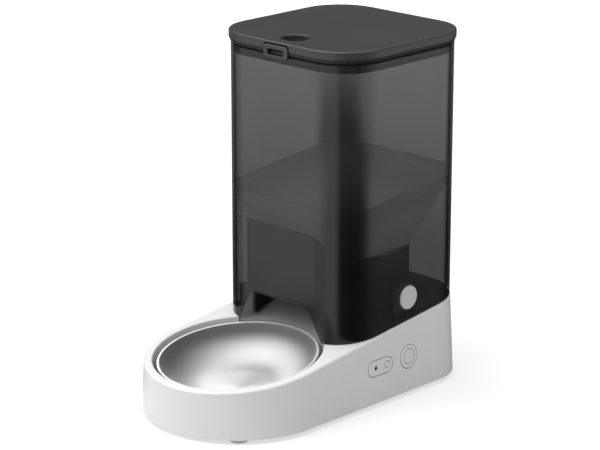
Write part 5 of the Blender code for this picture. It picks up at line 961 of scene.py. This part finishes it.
cap = pulled(lid_plate(0.0), LID_BOTTOM, LID_TOP)
softened(cap, edges_at_height(cap, LID_TOP), LID_EDGE, 5)
softened(cap, edges_at_height(cap, LID_BOTTOM), LID_LOW_EDGE, 2)
cap = carved(cap, pulled(lid_plate(LID_SHEET), LID_BOTTOM - REACH, LID_TOP - LID_SHEET))
middle = LID_TOP - LID_SHEET / 2
collar = turned([
    (0, LID_BOTTOM),
    (DISH_FLOOR_RADIUS + COLLAR, LID_BOTTOM),
    (DISH_FLOOR_RADIUS + COLLAR, DISH_FLOOR),
    (DISH_RADIUS + COLLAR, middle),
    (0, middle),
])
dish = turned([
    (0, LID_BOTTOM - REACH),
    (DISH_FLOOR_RADIUS, LID_BOTTOM - REACH),
    (DISH_FLOOR_RADIUS, DISH_FLOOR),
    (DISH_RADIUS - DISH_LIP / 2, LID_TOP - DISH_LIP),
    (DISH_RADIUS + DISH_LIP, LID_TOP),
    (DISH_RADIUS + DISH_LIP, LID_TOP + REACH),
    (0, LID_TOP + REACH),
])
notch_face = rectangle(-NOTCH_HALF, LID_BOTTOM - REACH, NOTCH_HALF, NOTCH_TOP)
upper = [vert for vert in notch_face.verts if vert.co.y > LID_BOTTOM]
round_corners(notch_face, upper, NOTCH_CORNER, SMALL_STEPS)
notch = at(pulled(notch_face, -REACH, NOTCH_DEPTH), upright(TANK_CENTRE_Y - LID_HALF))
cap = joined(cap, moved(collar, 0, BUTTON_Y))
cap = carved(cap, moved(dish, 0, BUTTON_Y), notch)
for side in (-1, 1):
    left, right = sorted((side * (LUG_INNER_X - GAP), side * HINGE_ROOM_X))
    cap = carved(cap, hinge_rod(KNUCKLE_RADIUS + GAP, left, right))
piece("lid_cap", cap, "lid", dark_lid, "lid_cover")

# %% [markdown]
# ## The press button and the latch loop
# The button is a small disc, dished so that a fingertip finds it. The latch is a rounded plate with a
# window that hooks over the tank's tongue, and a tail that the button pushes. Both are made as turned or
# pulled solids with rounded edges, since those edges are what catches the light on something this dark.

# %% Press button
BUTTON_RADIUS = 0.0088
BUTTON_TOP = 0.3040
BUTTON_SHEET = 0.0023
BUTTON_FLANGE_RADIUS = 0.0102
BUTTON_DISH = 0.0004
TIP_LOW = 0.300
TIP_HALF_X = 0.002
TIP_HALF_Y = 0.001

button = turned([
    (0, BUTTON_TOP - BUTTON_SHEET),
    (BUTTON_FLANGE_RADIUS, BUTTON_TOP - BUTTON_SHEET),
    (BUTTON_FLANGE_RADIUS, LID_BOTTOM - GAP),
    (BUTTON_RADIUS, LID_BOTTOM - GAP),
    (BUTTON_RADIUS, BUTTON_TOP),
    (BUTTON_RADIUS * 0.8, BUTTON_TOP),
    (BUTTON_RADIUS * 0.4, BUTTON_TOP - BUTTON_DISH * 0.75),
    (0, BUTTON_TOP - BUTTON_DISH),
])
softened(button, ring_edges(button, BUTTON_RADIUS, BUTTON_TOP), SMALL_EDGE)
tip_top = BUTTON_TOP - BUTTON_SHEET + GAP
button = joined(button, box(-TIP_HALF_X, -TIP_HALF_Y, TIP_LOW, TIP_HALF_X, TIP_HALF_Y, tip_top))
piece("press_button", moved(button, 0, BUTTON_Y), "lid_button_body", dark_liner, "lid_button")

# %% Latch loop
LATCH_FRONT_Y = -0.0189
LATCH_SHEET = 0.0024
LATCH_PIN_Y = -0.0124
LATCH_PIN_HEIGHT = 0.3048
LOOP_SIZE = (0.0138, 0.0055, 0.003)
LOOP_MIDDLE = 0.3017
LOOP_EDGE = 0.0006
WINDOW_SIZE = (0.0093, 0.0025, 0.0008)
WINDOW_MIDDLE = 0.3013
PIN_HOLE_RADIUS = 0.0012
BOSS_RADIUS = 0.002
BOSS_HALF = 0.009
BRIDGE_LOW = 0.3039
BRIDGE_TOP = 0.3057
TAIL_HALF = 0.0042
TAIL_BARS = (
    (LATCH_PIN_Y, BRIDGE_LOW, -0.0070, 0.3056),
    (-0.0084, 0.2980, -0.0068, BRIDGE_TOP),
    (-0.0080, 0.2980, 0.0090, 0.2996),
)

loop = pulled(rounded_plate(*LOOP_SIZE, (0, LOOP_MIDDLE), SMALL_STEPS), 0.0, LATCH_SHEET)
softened(loop, edges_at_height(loop, 0.0), LOOP_EDGE, 3)
window = rounded_plate(*WINDOW_SIZE, (0, WINDOW_MIDDLE), SMALL_STEPS)
loop = carved(loop, pulled(window, -REACH, LATCH_SHEET + REACH))
loop = joined(
    at(loop, upright(LATCH_FRONT_Y)),
    box(-BOSS_HALF, LATCH_FRONT_Y + LATCH_SHEET - GAP, BRIDGE_LOW, BOSS_HALF, LATCH_PIN_Y, BRIDGE_TOP),
    at(rod(BOSS_RADIUS, -BOSS_HALF, BOSS_HALF, THIN_STEPS), facing_right(0, LATCH_PIN_Y, LATCH_PIN_HEIGHT)),
    *[box(-TAIL_HALF, front, low, TAIL_HALF, rear, high) for front, low, rear, high in TAIL_BARS],
)
pin_hole = rod(PIN_HOLE_RADIUS, -2 * BOSS_HALF, 2 * BOSS_HALF, BORE_STEPS)
loop = carved(loop, at(pin_hole, facing_right(0, LATCH_PIN_Y, LATCH_PIN_HEIGHT)))
piece("latch_loop", loop, "latch_body", dark_lid, "latch")

# %% [markdown]
# ## Release buttons
# A light grey disc stands proud of each side of the tank. Pressing it slides a hook in its slot in the
# base, so that the tank comes free. The disc is turned, and the hook's arm is built on behind it.

# %% Release buttons
RELEASE_PROUD = 0.0011
FLANGE_OUT = 0.0757
FLANGE_IN = 0.0737
ARM_OUT = 0.0702
ARM_IN = 0.0677
ARM_HALF = 0.007
HOOK_LOW = 0.0559
HOOK_HEIGHT = 0.003
HOOK_BITE = 0.0013
HOOK_DROP = 0.0005
RELEASE_FLANGE = 0.002
RELEASE_EDGE = 0.0007


def release_button():
    """The right-hand button, hook arm and hook."""
    face = TANK_HALF + RELEASE_PROUD
    disc = turned([
        (0, FLANGE_IN),
        (RELEASE_RADIUS + RELEASE_FLANGE, FLANGE_IN),
        (RELEASE_RADIUS + RELEASE_FLANGE, FLANGE_OUT),
        (RELEASE_RADIUS, FLANGE_OUT),
        (RELEASE_RADIUS, face),
        (0, face),
    ])
    softened(disc, ring_edges(disc, RELEASE_RADIUS, face), RELEASE_EDGE, 4)
    at(disc, facing_right(0, TANK_CENTRE_Y, RELEASE_HEIGHT))
    front, rear = TANK_CENTRE_Y - ARM_HALF, TANK_CENTRE_Y + ARM_HALF
    arm_top = RELEASE_HEIGHT + ARM_HALF / 2
    hook_left, hook_right = ARM_IN + GAP, ARM_OUT + HOOK_BITE
    return joined(
        disc,
        box(ARM_IN, front, arm_top - ARM_HALF, FLANGE_IN + GAP, rear, arm_top),
        box(ARM_IN, front, HOOK_LOW, ARM_OUT, rear, arm_top - GAP),
        box(hook_left, front + GAP, HOOK_LOW - HOOK_DROP, hook_right, rear - GAP, HOOK_LOW + HOOK_HEIGHT),
    )


piece("release_disc_right", release_button(), "release_right", light_grey, "release_button_right")
piece("release_disc_left", mirrored_side(release_button()), "release_left", light_grey, "release_button_left")

# %% [markdown]
# ## Side controls
# A round feed button with a ring groove, a pill-shaped plate, a pin-sized lamp and a tiny setup button sit
# flush in the leaning right wall. All four are made flat about Z and set on the wall by one frame, so they
# share its lean exactly. The gaps round the plate and the two buttons are a little over half a millimetre,
# wide enough to show as fine dark lines.

# %% Side controls
LAMP_Y = 0.0197
LAMP_RADIUS = 0.0015
SETUP_Y = 0.0338
SETUP_RADIUS = 0.0028
FLANGE = 0.0013
FLANGE_WIDTH = 0.0014
PLATE_FLANGE_WIDTH = 0.0015
STEM_RADIUS = 0.0022
FEED_STEM_LOW = -0.0053
SETUP_STEM_LOW = -0.0065
FEED_PROUD = 0.0003
FEED_EDGE = 0.0006
GROOVE_RADIUS = 0.0062
GROOVE_WIDTH = 0.0009
GROOVE_DEPTH = 0.0010
LENS_LOW = -0.0057
LENS_FLANGE_TOP = -0.0044


def side_button(radius, proud, wall_back, stem_low, edge):
    """A round button with a flange behind the wall and a stem."""
    flange_top = wall_back - GAP
    flange_low = flange_top - FLANGE
    stem = min(STEM_RADIUS, radius - GAP)
    shape = turned([
        (0, stem_low), (stem, stem_low), (stem, flange_low), (radius + FLANGE_WIDTH, flange_low),
        (radius + FLANGE_WIDTH, flange_top), (radius, flange_top), (radius, proud), (0, proud),
    ])
    return softened(shape, ring_edges(shape, radius, proud), edge, 4)


def groove(radius, width, depth, top):
    """A ring-shaped cutter with sloping sides."""
    return turned([
        (radius + width / 4, top - depth), (radius + width * 3 / 4, top - depth),
        (radius + width, top + depth), (radius, top + depth),
    ])


feed_button = side_button(FEED_RADIUS, FEED_PROUD, -BASE_WALL, FEED_STEM_LOW, FEED_EDGE)
feed_button = carved(feed_button, groove(GROOVE_RADIUS, GROOVE_WIDTH, GROOVE_DEPTH, FEED_PROUD))
at(feed_button, side_frame(FEED_Y, CONTROL_HEIGHT))
piece("feed_disc", feed_button, "feed_button_body", white_abs, "feed_button")

plate_back = -BASE_WALL - GAP - FLANGE
plate = pulled(pill(), -BASE_WALL - GAP / 2, 0.0)
softened(plate, edges_at_height(plate, 0.0), SMALL_EDGE, 4)
plate = joined(plate, pulled(pill(PLATE_FLANGE_WIDTH), plate_back, -BASE_WALL - GAP))
plate = carved(
    plate,
    moved(hole_edge(LAMP_RADIUS + GAP), LAMP_Y - PANEL_Y, 0),
    moved(hole_edge(SETUP_RADIUS + LINE_GAP), SETUP_Y - PANEL_Y, 0),
)
piece("control_pill", at(plate, panel_frame), "base", white_abs, "control_plate")

setup = side_button(SETUP_RADIUS, 0.0, plate_back, SETUP_STEM_LOW, SMALL_EDGE)
at(setup, side_frame(SETUP_Y, CONTROL_HEIGHT))
piece("setup_disc", setup, "setup_button_body", white_abs, "setup_button")

lens_flange = LAMP_RADIUS + FLANGE_WIDTH
lens = turned([
    (0, LENS_LOW), (lens_flange, LENS_LOW), (lens_flange, LENS_FLANGE_TOP), (LAMP_RADIUS, LENS_FLANGE_TOP),
    (LAMP_RADIUS, -GAP), (LAMP_RADIUS / 2, -GAP / 3), (0, 0),
], THIN_STEPS)
piece("lamp_lens", at(lens, side_frame(LAMP_Y, CONTROL_HEIGHT)), "base", lens_black, "status_lens")

# %% [markdown]
# ## Feet
# Four soft grey pads keep the base from sliding. Each is turned with a slight taper, a rounded edge, a
# shallow hollow underneath that lets it grip, and a peg on top that holds it in the base.

# %% Feet
FOOT_PLACES = {
    "foot_front_left": (-0.0509, -0.1134),
    "foot_front_right": (0.0509, -0.1134),
    "foot_rear_left": (-0.052, 0.112),
    "foot_rear_right": (0.052, 0.112),
}
FOOT_TOP_RADIUS = 0.0093
FOOT_BOTTOM_RADIUS = 0.0072
FOOT_TOP = FOOT_HEIGHT - GAP
FOOT_HOLLOW = 0.0004
FOOT_EDGE = 0.0005
PEG_RADIUS = 0.0035
PEG_TOP = FOOT_TOP + 0.0018


def foot():
    """A pad about Z that stands on the ground."""
    shape = turned([
        (0, FOOT_HOLLOW), (FOOT_BOTTOM_RADIUS * 0.6, FOOT_HOLLOW), (FOOT_BOTTOM_RADIUS * 0.7, 0),
        (FOOT_BOTTOM_RADIUS, 0), (FOOT_TOP_RADIUS, FOOT_TOP), (PEG_RADIUS, FOOT_TOP), (PEG_RADIUS, PEG_TOP),
        (0, PEG_TOP),
    ], FOOT_STEPS)
    return softened(shape, ring_edges(shape, FOOT_BOTTOM_RADIUS, 0), FOOT_EDGE)


for name, (x, y) in FOOT_PLACES.items():
    piece(f"{name}_pad", moved(foot(), x, y), "base", grey_rubber, name)

# %% [markdown]
# ## Finishes for the solids that stay
# The pieces inside the tank and the base keep their CAD shapes, which are right as they are. Each gets its
# real material in place of the plain one.

# %% Finishes on CAD solids
FINISHES = {
    "base_bottom": white_abs,
    "battery_cover": white_abs,
    "contact_front": bright_steel,
    "contact_rear": bright_steel,
    "main_board": circuit_board,
    "control_board": circuit_board,
    "power_inlet": dark_inside,
    "gearbox_bracket": dark_inside,
    "gear_motor": bright_steel,
    "motor_pinion": brass,
    "drive_gear": nylon,
    "drive_spindle": bright_steel,
    "spindle_bush": brass,
    "tank_floor": tray_grey,
    "outlet_chute": chute_grey,
    "hopper_funnel": funnel_milky,
    "rotor": nylon,
    "stirrer": silicone,
    "hinge_pin_right": bright_steel,
    "hinge_pin_left": bright_steel,
    "lid_liner": dark_liner,
    "lid_seal": black_rubber,
    "latch_pin": bright_steel,
    "latch_spring": bright_steel,
    "desiccant_box": white_abs,
    "desiccant_cap": white_abs,
}
for name, finish in FINISHES.items():
    for material_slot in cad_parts[name].material_slots:
        material_slot.link = "OBJECT"
        material_slot.material = finish
print(len(FINISHES), "solids finished")

# %% [markdown]
# ## The lit table
# The photograph has a white ground that lights the object from below too, as a sheet of acrylic with a lamp
# under it does. So the table here glows by itself and also takes light from above: together that comes out
# white, and its glow lifts the lower walls.

# %% Table
TABLE_HALF = 6.0
TABLE_GLOW = 0.535


def studio_sheet(name, shape, finish):
    """A flat sheet that belongs to the studio, not to the feeder."""
    mesh = bpy.data.meshes.new(name)
    shape.to_mesh(mesh)
    shape.free()
    mesh.materials.append(finish)
    made = bpy.data.objects.new(name, mesh)
    bpy.context.scene.collection.objects.link(made)
    return made


pale, shader, place = new_finish(
    "lit_acrylic", roughness=0.9, specular_ior_level=0.0, emission_color=(1, 1, 1, 1),
    emission_strength=TABLE_GLOW,
)
feed(shader, "Base Color", place.noise(3, 2).between((0.395, 0.395, 0.395), (0.405, 0.405, 0.405)))
studio_sheet("table", rectangle(-TABLE_HALF, -TABLE_HALF, TABLE_HALF, TABLE_HALF), pale)
print("table", 2 * TABLE_HALF, "m wide")

# %% [markdown]
# ## Cards for the reflections
# A glossy object shows its studio, so a photographer stands black, grey and white cards round it. One sheet
# just above the table plays all of them: the camera, matt surfaces and shadows pass it by, and only
# reflections see it. Its places are found by angle and distance from the tank's front right corner, the
# angles counted from the way to the camera. It is white to the left, a grey that gets lighter with distance
# to the right, and nearly black elsewhere, so that the dark tank stays dark.

# %% Cards
CARD_HEIGHT = 0.001
CARD_HALF = 2.5
TANK_EDGE = (0.066, -0.005)
CARD_BLACK = (0.004, 0.004, 0.004)
CARD_WHITE = (0.74, 0.74, 0.74)
WHITE_STARTS = (0.15, 0.45)
WHITE_ENDS = (1.65, 2.0)
GREY_STARTS = (0.60, 2.0)
GREY_ENDS = (1.75, 2.2)
GREY_NEAR = 0.14
GREY_FAR = 1.2
GREY_FAR_RANGE = (0.35, 1.2)
GREY_MIDDLE = 0.1
GREY_MIDDLE_RANGE = (0.4, 0.9)

cards, shader, place = new_finish("reflected_cards", roughness=0.9, specular_ior_level=0.0)
seen = place.node("Mapping", {"vector_type": "TEXTURE"}, {
    "Vector": place, "Location": (*TANK_EDGE, 0), "Rotation": (0, 0, CAMERA_TURN)
})
right = seen.math("ARCTAN2", seen.part(X), 0.0 - seen.part(Y))
left = 0.0 - right
distance = seen.length()
white_left = left.smooth(*WHITE_STARTS) * (1 - left.smooth(*WHITE_ENDS))
grey_right = right.smooth(*GREY_STARTS) * (1 - right.smooth(*GREY_ENDS))
share = white_left + grey_right * (GREY_NEAR + GREY_FAR * distance.smooth(*GREY_FAR_RANGE))
share = share + GREY_MIDDLE * distance.smooth(*GREY_MIDDLE_RANGE)
feed(shader, "Base Color", share.between(CARD_BLACK, CARD_WHITE))
sheet = at(rectangle(-CARD_HALF, -CARD_HALF, CARD_HALF, CARD_HALF), Matrix.Translation((0, 0, CARD_HEIGHT)))
reflected = studio_sheet("reflected_cards", sheet, cards)
reflected.visible_camera = False
reflected.visible_diffuse = False
reflected.visible_shadow = False
print("cards", 2 * CARD_HALF, "m wide")

# %% [markdown]
# ## Lamps and sky
# The light is very soft: bright from above, a little stronger from the front left, and dim round the
# horizon, so that the right side falls to a mid grey. A dome gives the first and a very broad sun the
# second. The bowl has a big round lamp of its own at the rear left. Light linking keeps it off everything
# else, and names a foot pad that is never in its way as the only thing that may shade it, so the rim can't.

# %% Lamps and sky
KEY_TURN = math.radians(-42)
KEY_RISE = math.radians(57)
KEY_SPREAD = math.radians(70)
KEY_ENERGY = 2.65
BOWL_LAMP_PLACE = Vector((-0.9, 0.85, 0.36))
BOWL_LAMP_SIZE = 0.9
BOWL_LAMP_ENERGY = 24
HORIZON_LIGHT = 0.06
ZENITH_LIGHT = 1.75
DOME_RANGE = (0.45, 0.95)


def studio_light(name, kind, energy, along):
    """A light that shines along a direction."""
    made = bpy.data.objects.new(name, bpy.data.lights.new(name, kind))
    made.data.energy = energy
    aim(made, along)
    bpy.context.scene.collection.objects.link(made)
    return made


def linked(name, piece_name):
    """A collection for light linking that holds one piece."""
    made = bpy.data.collections.new(name)
    made.objects.link(bpy.data.objects[piece_name])
    return made


key = studio_light("key", "SUN", KEY_ENERGY, -direction(KEY_TURN, KEY_RISE))
key.data.angle = KEY_SPREAD

lamp = studio_light("bowl_lamp", "AREA", BOWL_LAMP_ENERGY, Vector((0, BOWL_CENTRE_Y, 0)) - BOWL_LAMP_PLACE)
lamp.location = BOWL_LAMP_PLACE
lamp.data.shape = "DISK"
lamp.data.size = BOWL_LAMP_SIZE
lamp.light_linking.receiver_collection = linked("lit_by_bowl_lamp", "steel_bowl")
lamp.light_linking.blocker_collection = linked("shades_bowl_lamp", "foot_rear_left_pad")

world = bpy.data.worlds.new("studio")
world.use_nodes = True
bpy.context.scene.world = world
sky = Wire(world.node_tree).node("TexCoord", output="Generated")
dome = sky.part(Z).smooth(*DOME_RANGE) * ZENITH_LIGHT + HORIZON_LIGHT
background = world.node_tree.nodes["Background"]
background.inputs["Color"].default_value = (1, 1, 1, 1)
world.node_tree.links.new(dome.socket, background.inputs["Strength"])
bpy.context.scene.view_settings.view_transform = "Standard"
print("lit by a dome, a sun and the bowl's lamp")
